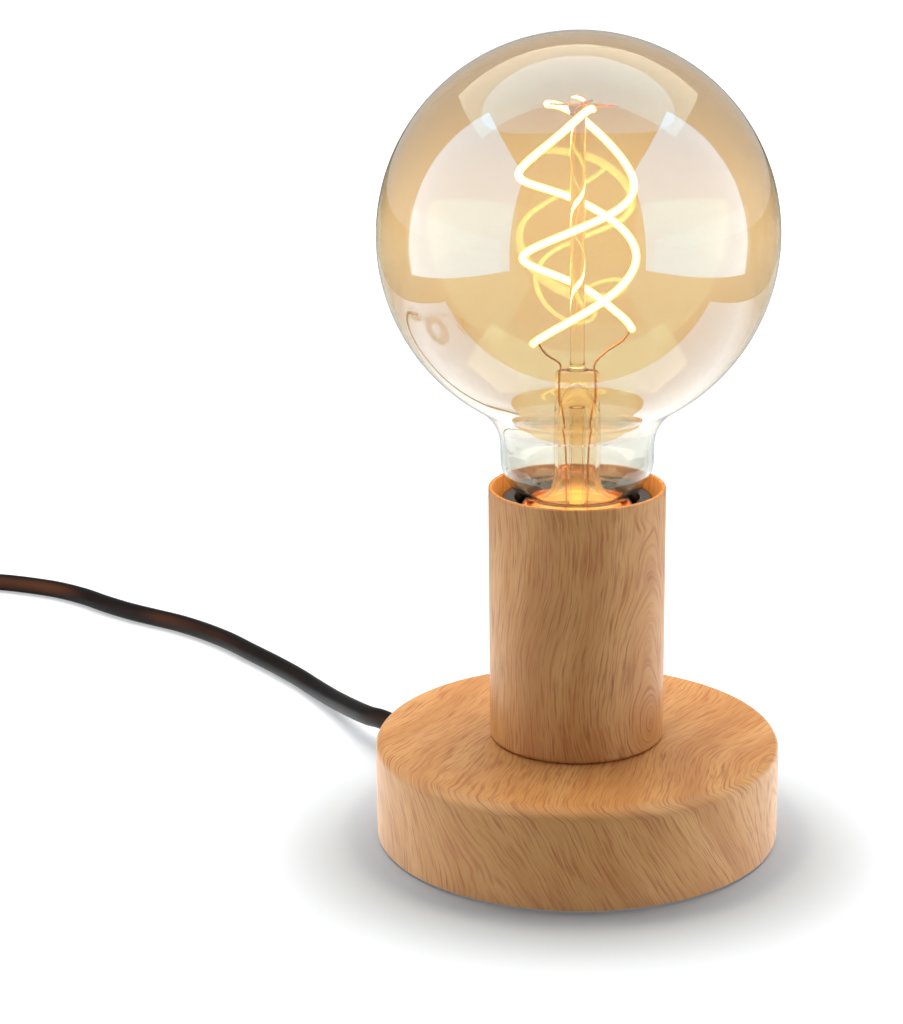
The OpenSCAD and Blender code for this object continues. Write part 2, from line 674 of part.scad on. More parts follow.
// Half section of the glass, drawn in from its outer face by inset
module glass_half(inset) {
    foot_z = tail_z - (inset > 0 ? over : 0);
    tail_top_z = shoulder_z - shoulder_r * sin(shoulder_turn) + 0.5;
    translate([0, globe_z]) intersection() {
        circle(globe_r - inset, $fn = 180);
        translate([0, -globe_r]) square([globe_r, 2 * globe_r]);
    }
    difference() {
        polygon([[0, fillet_z], [fillet_x, fillet_z], fillet_end, [0, fillet_end.y]]);
        translate([fillet_x, fillet_z]) circle(neck_fillet_r + inset, $fn = 96);
    }
    translate([0, shoulder_z]) square([neck_r - inset, fillet_z - shoulder_z + 0.01]);
    intersection() {
        translate([neck_r - shoulder_r, shoulder_z]) circle(shoulder_r - inset, $fn = 96);
        translate([0, shoulder_z - shoulder_r * sin(shoulder_turn)])
            square([neck_r, shoulder_r * sin(shoulder_turn) + 0.01]);
    }
    translate([0, shoulder_z - shoulder_r]) square([neck_r - shoulder_r, shoulder_r]);
    translate([0, foot_z]) square([tail_r - inset, tail_top_z - foot_z]);
}

module glass_globe() {
    color([0.93, 0.72, 0.42, 0.35]) rotate_extrude($fn = 180) difference() {
        glass_half(0);
        glass_half(glass_t);
    }
}

// Flared tube that is fused into the neck's tail, with the flat pinch that seals the wires
module stem() {
    r = stem_d / 2;
    tail_bore = tail_r - glass_t;
    flare_x = r + flare_r;
    pinch_t = 5.2;
    color([0.9, 0.88, 0.84, 0.4]) difference() {
        rotate_extrude($fn = 96) difference() {
            flare_half(r, 0, tail_bore, flare_x, pinch_top_z);
            flare_half(r - stem_wall, stem_wall, tail_bore - stem_wall, flare_x, pinch_z);
        }
        for (side = [0, 1]) mirror([0, side, 0]) {
            translate([-r - over, pinch_t / 2, pinch_z])
                cube([2 * (r + over), r, pinch_top_z - pinch_z + over]);
            // The bore runs on into the cut beside the pinch, so that it opens whatever the rounding
            intersection() {
                translate([-r, pinch_t / 2, pinch_z - over]) cube([2 * r, r, 2 * over]);
                translate([0, 0, pinch_z - over]) cylinder(r = r - stem_wall, h = 2 * over, $fn = 96);
            }
        }
    }
}

module flare_half(r, inset, foot_r, flare_x, top_z) {
    cut = inset > 0 ? over : 0;
    translate([0, flare_z]) square([r, top_z - flare_z]);
    difference() {
        translate([0, tail_z + 1]) square([foot_r, flare_z - tail_z - 1 + 0.01]);
        translate([flare_x, flare_z]) circle(flare_r + inset, $fn = 64);
        translate([flare_x, flare_z - flare_r]) square([flare_r, 2 * flare_r]);
    }
    translate([0, tail_z - cut]) square([foot_r, 1 + cut]);
}

module exhaust_tube() {
    color([0.9, 0.88, 0.84, 0.4]) translate([0, 0, tail_z + 2]) {
        difference() {
            cylinder(d = 4, h = pinch_z - tail_z - 2);
            translate([0, 0, 2]) cylinder(d = 2.6, h = pinch_z - tail_z);
        }
        sphere(d = 4, $fn = 32);
    }
}

module centre_rod() {
    color([0.9, 0.88, 0.84, 0.4]) {
        translate([0, 0, pinch_top_z]) cylinder(d = rod_d, h = rod_top_z - pinch_top_z);
        translate([0, 0, rod_top_z]) sphere(button_r, $fn = 36);
    }
}

function filament_point(key) = [
    spiral_r * key[2] * cos(key[1]), spiral_r * key[2] * sin(key[1]), pinch_top_z + rod_h * key[0]
];
function filament_line(keys) = [for (k = smooth(keys, rings_between_keys)) filament_point(k)];
function filament_foot(keys) = let (line = filament_line(keys)) line[len(line) - 3];

module filament_a() { color("gold") tube_along(filament_line(filament_a_keys), filament_d); }
module filament_b() { color("gold") tube_along(filament_line(filament_b_keys), filament_d); }

// Thin wires from the rod's button to the filaments' upper ends, with two spare hooks
module support_wires() {
    to_filament = spiral_r * filament_a_keys[0][2] - filament_d / 2 + weld;
    spare = 0.74 * spiral_r;
    root = button_r - 0.6;
    for (hook = [[filament_a_keys[0][1], to_filament], [filament_b_keys[0][1], to_filament], [-15, spare],
                 [70, spare]])
        color("silver") rotate([0, 0, hook[0]]) translate([root, 0, rod_top_z]) rotate([0, 90, 0])
            cylinder(d = lead_wire_d, h = hook[1] - root, $fn = 16);
}

// From the driver board up through the stem, out of the pinch and to a filament's lower end
module lead_wire(side, foot) {
    beside_board = (board_t + lead_wire_d) / 2;
    keys = [
        [side * 2.6, beside_board, board_top_z - 3], [side * 2.6, beside_board, board_top_z],
        [side * 2.6, 0.3, tail_z + 3], [side * 2.7, 0, shoulder_z + 1], [side * 3.4, 0, pinch_z - 3],
        [side * 4.1, 0, pinch_z + 2], [side * 4.1, 0, pinch_top_z - 1], [side * 4.2, 0, pinch_top_z + 1.6],
        [side * 6.6, foot.y * 0.35, pinch_top_z + 4], [foot.x * 0.86, foot.y * 0.8, foot.z - 3.2],
        [foot.x, foot.y, foot.z - filament_d / 2 + weld]
    ];
    color("silver") tube_along(smooth(keys, 3), lead_wire_d, 6);
}

module lead_wire_a() { lead_wire(1, filament_foot(filament_a_keys)); }
module lead_wire_b() { lead_wire(-1, filament_foot(filament_b_keys)); }

// A small board on edge inside the cap, hung on the stem's two wires
module driver_board() {
    board_w = 16;
    board_h = 14;
    color("darkgreen") translate([-board_w / 2, -board_t / 2, board_top_z - board_h])
        cube([board_w, board_t, board_h]);
    color("#26221f") {
        translate([-4.5, board_t / 2, board_top_z - 12]) cube([6, 3, 6]);
        translate([3.5, board_t / 2, board_top_z - 11]) cube([3, 2, 4]);
        translate([-3, -board_t / 2, board_top_z - 7]) rotate([90, 0, 0]) cylinder(d = 7, h = 6);
        translate([4, -board_t / 2, board_top_z - 9]) rotate([90, 0, 0]) cylinder(d = 4, h = 4);
    }
}

module basing_cement() {
    color("peru") translate([0, 0, tail_z]) ring(2 * cap_bore_r, 2 * tail_r, cap_top_z - tail_z - 0.3);
}

module lamp_cap() {
    shoulder = 2;
    color("silver") rotate_extrude($fn = 96) polygon([
        [cap_foot_r - cap_sheet, cap_bottom_z], [cap_foot_r, cap_bottom_z],
        [cap_d / 2, cap_bottom_z + shoulder], [cap_d / 2, cap_top_z], [cap_bore_r, cap_top_z],
        [cap_bore_r, cap_bottom_z + shoulder + 0.15]
    ]);
}

module cap_insulator() {
    color("#15110f") rotate_extrude() polygon([[0, tip_z + contact_t], [6, tip_z + contact_t],
        [cap_foot_r - 0.4, cap_bottom_z - 0.8], [cap_foot_r, cap_bottom_z - fit], [0, cap_bottom_z - fit]]);
}

module end_contact() {
    crown_r = 4.9;
    color("silver") translate([0, 0, tip_z]) rotate_extrude() polygon([[0, 0], [crown_r - 1.3, 0],
        [crown_r - 0.4, 0.35], [crown_r, contact_t], [0, contact_t]]);
}

// ---------------------------------------------------------------- cord outside the base

module cord_lead() { color("#1d1a18") tube_along(cord_lead_route, cord_d); }
module cord_link() { color("#1d1a18") tube_along(cord_link_route, cord_d); }
module cord_tail() { color("#1d1a18") tube_along(cord_tail_route, cord_d); }

// Distance from the coil's centre and height after u turns: in on the lower layer, out on the upper one
coil_steps = 24;
coil_total = 2 * coil_turns;
function coil_r(u) = coil_inner_r + coil_pitch * abs(u - coil_turns);
function coil_height(u) = coil_z + coil_pitch * ramp(u, coil_turns - 0.25, coil_turns + 0.25);
function coil_point(u) = let (a = 180 + 360 * u)
    [lane_x + coil_outer_r + coil_r(u) * cos(a), coil_y + coil_r(u) * sin(a), coil_height(u)];
coil_turning = [for (k = [0:coil_total * coil_steps]) coil_point(k / coil_steps)];
coil_line = concat([coil_turning[0] + [0, cord_d, 0]], coil_turning,
    [coil_turning[len(coil_turning) - 1] - [0, cord_d, 0]]);
coil_least_gap = min([
    for (i = [0:len(coil_line) - 1], j = [i + coil_steps / 2:1:len(coil_line) - 1])
        norm(coil_line[j] - coil_line[i])
]) - cord_d;

module cord_coil() {
    echo(coil_least_gap_mm = coil_least_gap);
    color("#1d1a18") tube_along(coil_line, cord_d, 6);
}

// A hook-and-loop strap round the turns at the side away from the plug
module coil_tie() {
    strap_w = 8;
    in = coil_inner_r - cord_d / 2 - 1;
    out = coil_outer_r + cord_d / 2 + 1;
    top = coil_z + coil_pitch + cord_d / 2 + 0.3;
    color("black") translate([lane_x + coil_outer_r, coil_y, 0]) {
        translate([-strap_w / 2, 0, 0]) difference() {
            translate([0, in - tie_t, 0]) cube([strap_w, out - in + 2 * tie_t, top + tie_t]);
            translate([-over, in, tie_t - 0.1]) cube([strap_w + 2 * over, out - in, top - tie_t + 0.1]);
        }
        translate([-strap_w / 2, in + 3, top + tie_t]) cube([strap_w, 9, tie_t]);
    }
}

// ---------------------------------------------------------------- cord switch

// Children are drawn with the switch's centre at the origin and the cord along X
module at_switch() {
    translate([lane_x, switch_y, 0]) rotate([0, 0, 90]) children();
}

// Plan of the housing: broad in the middle, narrower at the two cord ends
module switch_plan(inset) {
    half = switch_len / 2 - inset;
    side = switch_w / 2 - inset;
    tip = switch_end_w / 2 - inset;
    polygon([[half, -tip], [half, tip], [half - 9, side - 2.2], [half - 14, side], [-half + 14, side],
        [-half + 9, side - 2.2], [-half, tip], [-half, -tip], [-half + 9, -side + 2.2], [-half + 14, -side],
        [half - 14, -side], [half - 9, -side + 2.2]]);
}

module switch_cord_holes() {
    for (x = [-1, 1]) translate([x * (switch_len / 2 - switch_grip / 2), 0, switch_cord_z]) rotate([0, 90, 0])
        cylinder(d = cord_d + 2 * fit, h = switch_grip + 0.6, center = true);
}

module switch_screw_places() {
    for (s = [-1, 1]) translate([s * switch_screw.x, s * switch_screw.y, 0]) children();
}

// The housing's cavity: inside the walls, and short of the thick ends that grip the cord
module switch_cavity() {
    intersection() {
        switch_plan(switch_wall);
        square([switch_len - 2 * switch_grip, switch_w], center = true);
    }
}

module switch_base() {
    color("#1c1b1a") at_switch() difference() {
        union() {
            difference() {
                linear_extrude(switch_split_z) switch_plan(0);
                translate([0, 0, switch_wall]) linear_extrude(switch_split_z) switch_cavity();
            }
            switch_screw_places() cylinder(d = 5.2, h = switch_split_z);
        }
        switch_screw_places() translate([0, 0, -over])
            cylinder(d = switch_screw_d + 2 * fit, h = switch_split_z + 2 * over);
        switch_screw_places() translate([0, 0, -over]) cylinder(d = 4.4 + 2 * fit, h = over + 1.4);
        switch_cord_holes();
    }
}

module switch_cover() {
    height = switch_h - switch_split_z;
    edge = 1.6;
    color("#1c1b1a") at_switch() difference() {
        union() {
            difference() {
                union() {
                    translate([0, 0, switch_split_z]) linear_extrude(height - edge) switch_plan(0);
                    translate([0, 0, switch_h - edge]) linear_extrude(edge / 2) switch_plan(edge / 4);
                    translate([0, 0, switch_h - edge / 2]) linear_extrude(edge / 2) switch_plan(edge);
                }
                translate([0, 0, switch_split_z - over]) linear_extrude(height - switch_wall + over)
                    switch_cavity();
            }
            for (y = [-1, 1]) translate([-3, y * (rocker_w / 2 + 1.8) - 1.2, rocker_z - 3])
                cube([6, 2.4, switch_h - rocker_z + 2]);
            switch_screw_places() translate([0, 0, switch_split_z]) cylinder(d = 5.2, h = height - 1);
        }
        translate([-rocker_len / 2 - 0.6, -rocker_w / 2 - 0.4, switch_split_z])
            cube([rocker_len + 1.2, rocker_w + 0.8, height + over]);
        translate([0, 0, rocker_z]) rotate([90, 0, 0])
            cylinder(d = rocker_pin_d + 2 * fit, h = rocker_w + 7, center = true);
        switch_screw_places() cylinder(d = switch_screw_d + 2 * fit, h = switch_h - 2.6);
        switch_cord_holes();
    }
}

// The dished rocker with its pivot pins, resting in the on position
module switch_rocker() {
    color("#2a2827") at_switch() translate([0, 0, rocker_z]) rotate([0, -rocker_tilt, 0]) {
        difference() {
            translate([-rocker_len / 2, -rocker_w / 2, -2.4]) cube([rocker_len, rocker_w, 8]);
            translate([0, 0, rocker_r + 4]) rotate([90, 0, 0])
                cylinder(r = rocker_r, h = rocker_w + 2, center = true, $fn = 128);
            for (side = [0, 1]) mirror([side, 0, 0]) translate([-rocker_len / 2 - over, -rocker_w, -3.4])
                rotate([0, 12, 0]) cube([rocker_len / 2, 2 * rocker_w, 2]);
        }
        rotate([90, 0, 0]) cylinder(d = rocker_pin_d, h = rocker_w + 5, center = true);
    }
}

// Two clamp blocks for the switched core, each with a spring strip under the rocker
module switch_contacts() {
    color("gold") at_switch() for (x = [-1, 1]) difference() {
        union() {
            translate([x * 14 - 3, 0.1, switch_wall]) cube([6, 4, switch_split_z]);
            translate([x * 8 - 4, 0.6, switch_split_z + 1.1]) cube([8, 3.6, 0.5]);
        }
        translate([x * 14, core_d / 2 + 0.2, switch_cord_z]) rotate([0, 90, 0])
            cylinder(d = core_d + 2 * fit, h = 8, center = true);
    }
}

// The switched core in two halves, and the other core straight through
module switch_cores() {
    inner = switch_len / 2 - switch_grip;
    at_switch() translate([0, 0, switch_cord_z]) rotate([0, 90, 0]) {
        color("saddlebrown") for (x = [-1, 1]) translate([0, core_d / 2 + 0.2, x > 0 ? 12 : -inner])
            cylinder(d = core_d, h = inner - 12);
        color("steelblue") translate([0, -core_d / 2 - 0.2, -inner]) cylinder(d = core_d, h = 2 * inner);
    }
}

module switch_screws() {
    head_t = 1.2;
    color("silver") at_switch() switch_screw_places() difference() {
        union() {
            translate([0, 0, 1.4 - head_t]) cylinder(d = 4.4, h = head_t);
            translate([0, 0, 1.4]) cylinder(d = switch_screw_d, h = switch_h - 5);
        }
        translate([-3, -0.3, -over]) cube([6, 0.6, over + 0.7]);
    }
}

// ---------------------------------------------------------------- plug

// Children are drawn with the cord's end at the origin and the pins pointing along +X
module at_plug() {
    translate([plug_x, plug_y, plug_t / 2]) children();
}

// Flat six-sided section of the plug, h wide and t thick, as a thin slice at x
module plug_slice(x, w, t) {
    translate([x, 0, 0]) rotate([90, 0, 90]) linear_extrude(0.5)
        polygon([[-w / 2, 0], [-w / 2 + t / 4, -t / 2], [w / 2 - t / 4, -t / 2], [w / 2, 0],
            [w / 2 - t / 4, t / 2], [-w / 2 + t / 4, t / 2]]);
}

module plug_body() {
    sleeve_len = 12;
    color("#1c1b1a") at_plug() difference() {
        union() {
            hull() {
                plug_slice(sleeve_len, 13, 11);
                plug_slice(sleeve_len + 7, plug_w - 6, plug_t - 1);
            }
            hull() {
                plug_slice(sleeve_len + 7, plug_w - 6, plug_t - 1);
                plug_slice(plug_len - 0.5, plug_w, plug_t);
            }
            rotate([0, 90, 0]) cylinder(d1 = cord_d + 2.4, d2 = 10, h = sleeve_len + 1);
        }
        for (k = [0:2]) translate([2.6 + 3 * k, 0, 0]) rotate([0, 90, 0])
            ring(14, cord_d + 1.8 + 0.5 * k, 1.2);
        translate([-over, 0, 0]) rotate([0, 90, 0]) cylinder(d = cord_d + 2 * fit, h = over + plug_grip);
        for (y = [-1, 1]) translate([plug_len - 6, y * pin_spacing / 2, 0]) rotate([0, 90, 0])
            cylinder(d = pin_d, h = 7);
    }
}

module pin_places() {
    at_plug() for (y = [-1, 1]) translate([plug_len, y * pin_spacing / 2, 0]) rotate([0, 90, 0]) children();
}

module plug_pins() {
    bare = pin_len - 10;
    color("silver") pin_places() {
        translate([0, 0, -6]) cylinder(d = pin_d, h = 6);
        cylinder(d = pin_d - 1.2, h = 10);
        translate([0, 0, 10]) cylinder(d = pin_d, h = bare - 1);
        translate([0, 0, 10 + bare - 1]) cylinder(d1 = pin_d, d2 = pin_d - 1.6, h = 1);
    }
}

module plug_sleeves() {
    color("#1c1b1a") pin_places() ring(pin_d - 0.2, pin_d - 1.2, 10);
}

// ---------------------------------------------------------------- the nodes

base_shell();
ballast();
bottom_plate();
plate_screws();
base_pad();
sleeve();
threaded_tube();
tube_nut();
lock_washer();
tube_end_bush();
holder_dome();
holder_grub_screw();
holder_shell();
contact_carrier();
screw_shell();
centre_contact();
side_contact();
live_terminal();
neutral_terminal();
terminal_screws();
live_core();
neutral_core();
cord_end();
cord_clamp();
clamp_screws();
cord_bush();
glass_globe();
stem();
exhaust_tube();
centre_rod();
support_wires();
filament_a();
filament_b();
lead_wire_a();
lead_wire_b();
driver_board();
basing_cement();
lamp_cap();
cap_insulator();
end_contact();
cord_lead();
cord_link();
cord_coil();
cord_tail();
coil_tie();
switch_base();
switch_cover();
switch_rocker();
switch_contacts();
switch_cores();
switch_screws();
plug_body();
plug_pins();
plug_sleeves();
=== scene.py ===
"""Looks of the bare-bulb table lamp: disc base and sleeve in oak-print film, globe bulb with two
spiral filaments, lampholder, and a cord with its rocker switch and plug.
Lengths are in millimetres until a mesh is made; Z is up and azimuths turn from +X towards +Y."""
import math

import bmesh
import bpy
from mathutils import Matrix, Vector


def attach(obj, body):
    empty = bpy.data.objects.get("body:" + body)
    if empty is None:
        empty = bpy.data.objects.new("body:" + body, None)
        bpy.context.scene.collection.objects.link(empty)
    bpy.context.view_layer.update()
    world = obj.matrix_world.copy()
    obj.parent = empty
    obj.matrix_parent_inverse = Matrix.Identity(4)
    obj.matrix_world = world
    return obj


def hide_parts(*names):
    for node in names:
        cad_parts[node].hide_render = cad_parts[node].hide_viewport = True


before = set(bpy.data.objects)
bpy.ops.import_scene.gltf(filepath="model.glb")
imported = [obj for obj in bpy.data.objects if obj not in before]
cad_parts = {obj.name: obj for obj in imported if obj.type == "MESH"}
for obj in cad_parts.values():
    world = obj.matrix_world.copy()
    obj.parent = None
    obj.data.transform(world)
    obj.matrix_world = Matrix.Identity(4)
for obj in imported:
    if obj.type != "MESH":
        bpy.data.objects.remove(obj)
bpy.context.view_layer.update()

MM = 0.001
TAU = 2 * math.pi

# ---- sizes, as in the solids

BASE_R, BASE_TOP, BASE_EDGE, BASE_WALL, SKIRT_Z = 50, 25.5, 2.5, 1, 0.6
PAD_R, PAD_T = 47.6, 0.8
HOLE_R = 5.2
SLEEVE_R, SLEEVE_TOP, SLEEVE_WALL, SLEEVE_FLOOR = 21.5, 89.5, 1, 1.2
EXIT_AZIMUTH, EXIT_Z = 135, 8
JACKET_END = 14
CORD_R = 2.7
CORD_Z = 2.7
CORE_R = 1

HOLDER_R, RIM_R, RIM_Z, JOINT_Z, MOUTH_R = 19.6, 18.2, 87, 50, 15.2
SPIGOT_R, HOLDER_BORE_R, SCREW_SHELL_R = 18.4, 16.9, 13.9
TIP_Z, CAP_R, CAP_SHEET, CAP_TOP, CAP_FOOT_R = 58, 13.2, 0.4, 85, 10.9
SHELL_Z, SHELL_TOP = 60.6, 81
THREAD_PITCH, THREAD_DEPTH, THREAD_GAP = 3.629, 1.07, 0.3

GLOBE_R, GLOBE_Z, GLASS_T = 47.5, 150.5, 0.9
NECK_R, NECK_FILLET, SHOULDER_R, SHOULDER_Z = 18.5, 12, 10, 96.5
TAIL_R, TAIL_Z = 12.3, 80
STEM_R, FLARE_R, FLARE_Z, PINCH_Z, PINCH_TOP = 5.6, 8, 92, 109, 118
ROD_R, ROD_H, SPIRAL_R = 1.75, 63, 13
ROD_TOP = PINCH_TOP + ROD_H
FILAMENT_R, WIRE_R = 0.85, 0.25
BOARD_TOP = 79

LANE_X, SWITCH_Y, SWITCH_L, SWITCH_W, SWITCH_H, SWITCH_SPLIT = -256, 114, 62, 24, 16, 7.5
COIL_Y, COIL_TURNS, COIL_PITCH, COIL_IN, COIL_Z = 30, 3, 5.9, 22.5, 3.3
COIL_OUT = COIL_IN + COIL_TURNS * COIL_PITCH
TIE_T = 0.6
SWITCH_WALL = 1.6
PLUG_X, PLUG_Y, PLUG_Z, PLUG_L = -226, -62, 6.85, 34

# ---- helpers


def srgb(code):
    """Linear colour of an sRGB hex value."""
    parts = [int(code[i : i + 2], 16) / 255 for i in (1, 3, 5)]
    return (*(c / 12.92 if c <= 0.04045 else ((c + 0.055) / 1.055) ** 2.4 for c in parts), 1)


def feed(tree, node, inputs):
    """Gives a node's inputs, by name or number or in their order, their values, or links them to a
    socket or to a node's first live output."""
    for key, value in inputs.items() if isinstance(inputs, dict) else enumerate(inputs):
        if isinstance(value, bpy.types.Node):
            value = next(socket for socket in value.outputs if socket.enabled)
        if isinstance(value, bpy.types.NodeSocket):
            tree.links.new(value, node.inputs[key])
        else:
            node.inputs[key].default_value = value


def add(tree, kind, inputs=None, stops=None, **settings):
    """A node, a shader's unless its kind says otherwise, with its settings, what its inputs are fed,
    and the stops of its colour ramp."""
    node = tree.nodes.new(kind if "Node" in kind else "ShaderNode" + kind)
    for name, value in settings.items():
        setattr(node, name, value)
    feed(tree, node, inputs or {})
    for i, (place, colour) in enumerate(stops or ()):
        stop = node.color_ramp.elements[i] if i < 2 else node.color_ramp.elements.new(place)
        stop.position, stop.color = place, colour
    return node


def finish_named(name, **sockets):
    """A material with one Principled shader whose plain sockets are given, underscores for spaces,
    and the piece's own coordinates."""
    made = bpy.data.materials.new(name)
    made.use_nodes = True
    tree = made.node_tree
    shader = tree.nodes["Principled BSDF"]
    feed(tree, shader, {key.replace("_", " "): value for key, value in sockets.items()})
    return made, tree, shader, add(tree, "TexCoord").outputs["Object"]


def in_scene(name, data):
    made = bpy.data.objects.new(name, data)
    bpy.context.scene.collection.objects.link(made)
    return made


def shaded(mesh, angle):
    """Smooth shading, with the edges sharp that turn by more than the angle."""
    mesh.shade_smooth()
    mesh.set_sharp_from_angle(angle=math.radians(angle))


def solid(name, points, faces, finish, uv=None, sharp=38, place=None, marks=None):
    """A mesh piece from points in millimetres, with faces turned outwards; uv is its place on the film."""
    mesh = bpy.data.meshes.new(name)
    mesh.from_pydata([Vector(p) * MM for p in points], [], faces)
    if uv:
        layer = mesh.uv_layers.new(name="film")
        for loop, value in zip(layer.data, [c for face in uv for c in face]):
            loop.uv = value
    for each in finish if isinstance(finish, list) else [finish]:
        mesh.materials.append(each)
    if marks:
        mesh.polygons.foreach_set("material_index", marks)
    made = bmesh.new()
    made.from_mesh(mesh)
    bmesh.ops.recalc_face_normals(made, faces=made.faces)
    if place is not None:
        made.transform(place)
    made.to_mesh(mesh)
    made.free()
    shaded(mesh, sharp)
    return in_scene(name, mesh)


def rounded(corners, closed=True, step=14, support=0.35, count=0):
    """Points of an outline whose corners (x, y, radius) are rounded, with a point just past each
    arc so that the flats beside it stay flat."""
    line = []
    for i, (x, y, radius) in enumerate(corners):
        here = Vector((x, y))
        inner = closed or 0 < i < len(corners) - 1
        if not inner or radius <= 0:
            line.append(here)
            continue
        before, after = (Vector(corners[(i + k) % len(corners)][:2]) for k in (-1, 1))
        a, b = (before - here).normalized(), (after - here).normalized()
        turn = a.angle(b)
        if turn > math.pi - 0.01:
            line.append(here)
            continue
        reach = radius / math.tan(turn / 2)
        centre = here + (a + b).normalized() * (radius / math.sin(turn / 2))
        start, end = here + a * reach - centre, here + b * reach - centre
        swing = start.angle_signed(end)
        steps = count or max(2, round(abs(math.degrees(swing)) / step))
        if support and (before - here).length > 2 * (reach + support):
            line.append(here + a * (reach + support))
        for k in range(steps + 1):
            line.append(centre + Matrix.Rotation(-swing * k / steps, 2) @ start)
        if support and (after - here).length > 2 * (reach + support):
            line.append(here + b * (reach + support))
    return [(p.x, p.y) for p in line]


def turned(name, outline, finish, steps=96, film=None, closed=True, inside=None, **more):
    """A piece turned round Z from an outline of (radius, height). film gives the print's place for
    a point's index and turn; faces whose first outline point is in inside get the second finish."""
    points, rows, poles = [], [], {}
    for r, z in outline:
        if r < 1e-6:
            poles[len(rows)] = len(points)
            rows.append([len(points)] * steps)
            points.append((0, 0, z))
        else:
            rows.append(range(len(points), len(points) + steps))
            points += [(r * math.cos(TAU * k / steps), r * math.sin(TAU * k / steps), z) for k in range(steps)]
    faces, uv, marks = [], [], []
    for i in range(len(outline) if closed else len(outline) - 1):
        j = (i + 1) % len(outline)
        if i in poles and j in poles:
            continue
        for k in range(steps):
            n = (k + 1) % steps
            ring = [(i, k, rows[i][k]), (i, k + 1, rows[i][n]), (j, k + 1, rows[j][n]), (j, k, rows[j][k])]
            if i in poles:
                ring.pop(1)
            elif j in poles:
                ring.pop(2)
            faces.append([v for _, _, v in ring])
            if film:
                uv.append([film(a, b / steps) for a, b, _ in ring])
            marks.append(1 if inside and i in inside else 0)
    return solid(name, points, faces, finish, uv=uv, marks=marks if inside else None, **more)


def along(keys, steps):
    """A smooth line through the keys, with steps points from one key to the next."""
    keys = [Vector(k) for k in keys]
    line = []
    for i in range(len(keys) - 1):
        a, b, c, d = (keys[min(max(i + k, 0), len(keys) - 1)] for k in (-1, 0, 1, 2))
        for s in range(steps):
            t = s / steps
            line.append((2 * b + (c - a) * t + (2 * a - 5 * b + 4 * c - d) * t * t
                         + (3 * b - a - 3 * c + d) * t ** 3) / 2)
    return line + [keys[-1]]


def tube(name, line, radius, finish, sides=16, tip=0.3, **more):
    """A closed round tube along a line, its ends rounded by the tip."""
    line = [Vector(p) for p in line]
    ahead = [(line[min(i + 1, len(line) - 1)] - line[max(i - 1, 0)]).normalized() for i in range(len(line))]
    side = Vector((0, 0, 1)) if abs(ahead[0].z) < 0.9 else Vector((1, 0, 0))
    stations = []
    for centre, t in zip(line, ahead):
        side = (side - side.dot(t) * t).normalized()
        stations.append((centre, side, t.cross(side), radius))
    first, last = stations[0], stations[-1]
    stations[0] = (first[0] + ahead[0] * tip, *first[1:])
    stations[-1] = (last[0] - ahead[-1] * tip, *last[1:])
    stations = [(*first[:3], radius - tip), *stations, (*last[:3], radius - tip)]
    turns = [(math.cos(TAU * k / sides), math.sin(TAU * k / sides)) for k in range(sides)]
    return lofted(name, [[centre + r * (c * n + s * b) for c, s in turns] for centre, n, b, r in stations],
                  finish, **more)


def lofted(name, rings, finish, hollow=False, **more):
    """A piece skinned over rings of equal length, closed at its two ends or, if hollow, from the last
    ring to the first."""
    count = len(rings[0])
    points = [p for ring in rings for p in ring]
    faces = []
    for i in range(len(rings) if hollow else len(rings) - 1):
        j = (i + 1) % len(rings)
        faces += [[i * count + k, i * count + (k + 1) % count, j * count + (k + 1) % count, j * count + k]
                  for k in range(count)]
    if not hollow:
        faces += [list(range(count)), list(range((len(rings) - 1) * count, len(rings) * count))]
    return solid(name, points, faces, finish, **more)


def settled(piece):
    """Turns what a piece's modifiers make into its own plain mesh, and removes them."""
    bpy.context.view_layer.update()
    graph = bpy.context.evaluated_depsgraph_get()
    mesh = bpy.data.meshes.new_from_object(piece.evaluated_get(graph), depsgraph=graph)
    if piece.type != "MESH":
        line, name = piece, piece.name
        line.name = name + "_line"
        piece = in_scene(name, mesh)
        bpy.data.objects.remove(line)
    else:
        piece.modifiers.clear()
        piece.data = mesh
    mesh.name = piece.name
    return piece


def cut(piece, *cutters):
    """Cuts the cutters out of a piece, and removes them."""
    for cutter in cutters:
        tool = piece.modifiers.new("cut", "BOOLEAN")
        tool.operation, tool.solver, tool.object = "DIFFERENCE", "EXACT", cutter
    settled(piece)
    for cutter in cutters:
        bpy.data.objects.remove(cutter)
    shaded(piece.data, 38)
    return piece


def block(low, high, finish, place=None, name="cutter"):
    """A box between two corners."""
    (x0, y0, z0), (x1, y1, z1) = low, high
    base = [(x0, y0), (x1, y0), (x1, y1), (x0, y1)]
    return lofted(name, [[(x, y, z0) for x, y in base], [(x, y, z1) for x, y in base]], finish, place=place)


def bar(radius, low, high, finish, place=None, steps=48, name="cutter"):
    """A round bar round Z."""
    return turned(name, [(0, low), (radius, low), (radius, high), (0, high)], finish, steps=steps,
                  closed=False, place=place)


def edges_rounded(piece, radius, segments=3, angle=30):
    """Rounds the edges of a piece that turn by more than the angle."""
    tool = piece.modifiers.new("edges", "BEVEL")
    tool.width, tool.segments, tool.limit_method = radius * MM, segments, "ANGLE"
    tool.angle_limit, tool.use_clamp_overlap = math.radians(angle), True
    settled(piece)
    shaded(piece.data, 50)
    return piece


def out(piece, body, slot, *nodes):
    """Hands a finished piece to the frame: its body, and the nodes it stands for, which it hides. The slot is not
    used.
    """
    if nodes:
        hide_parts(*nodes)
    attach(piece, body)
    return piece


def shift(x, y, z):
    return Matrix.Translation((x * MM, y * MM, z * MM))


def spin(degrees, axis="Z"):
    return Matrix.Rotation(math.radians(degrees), 4, axis)


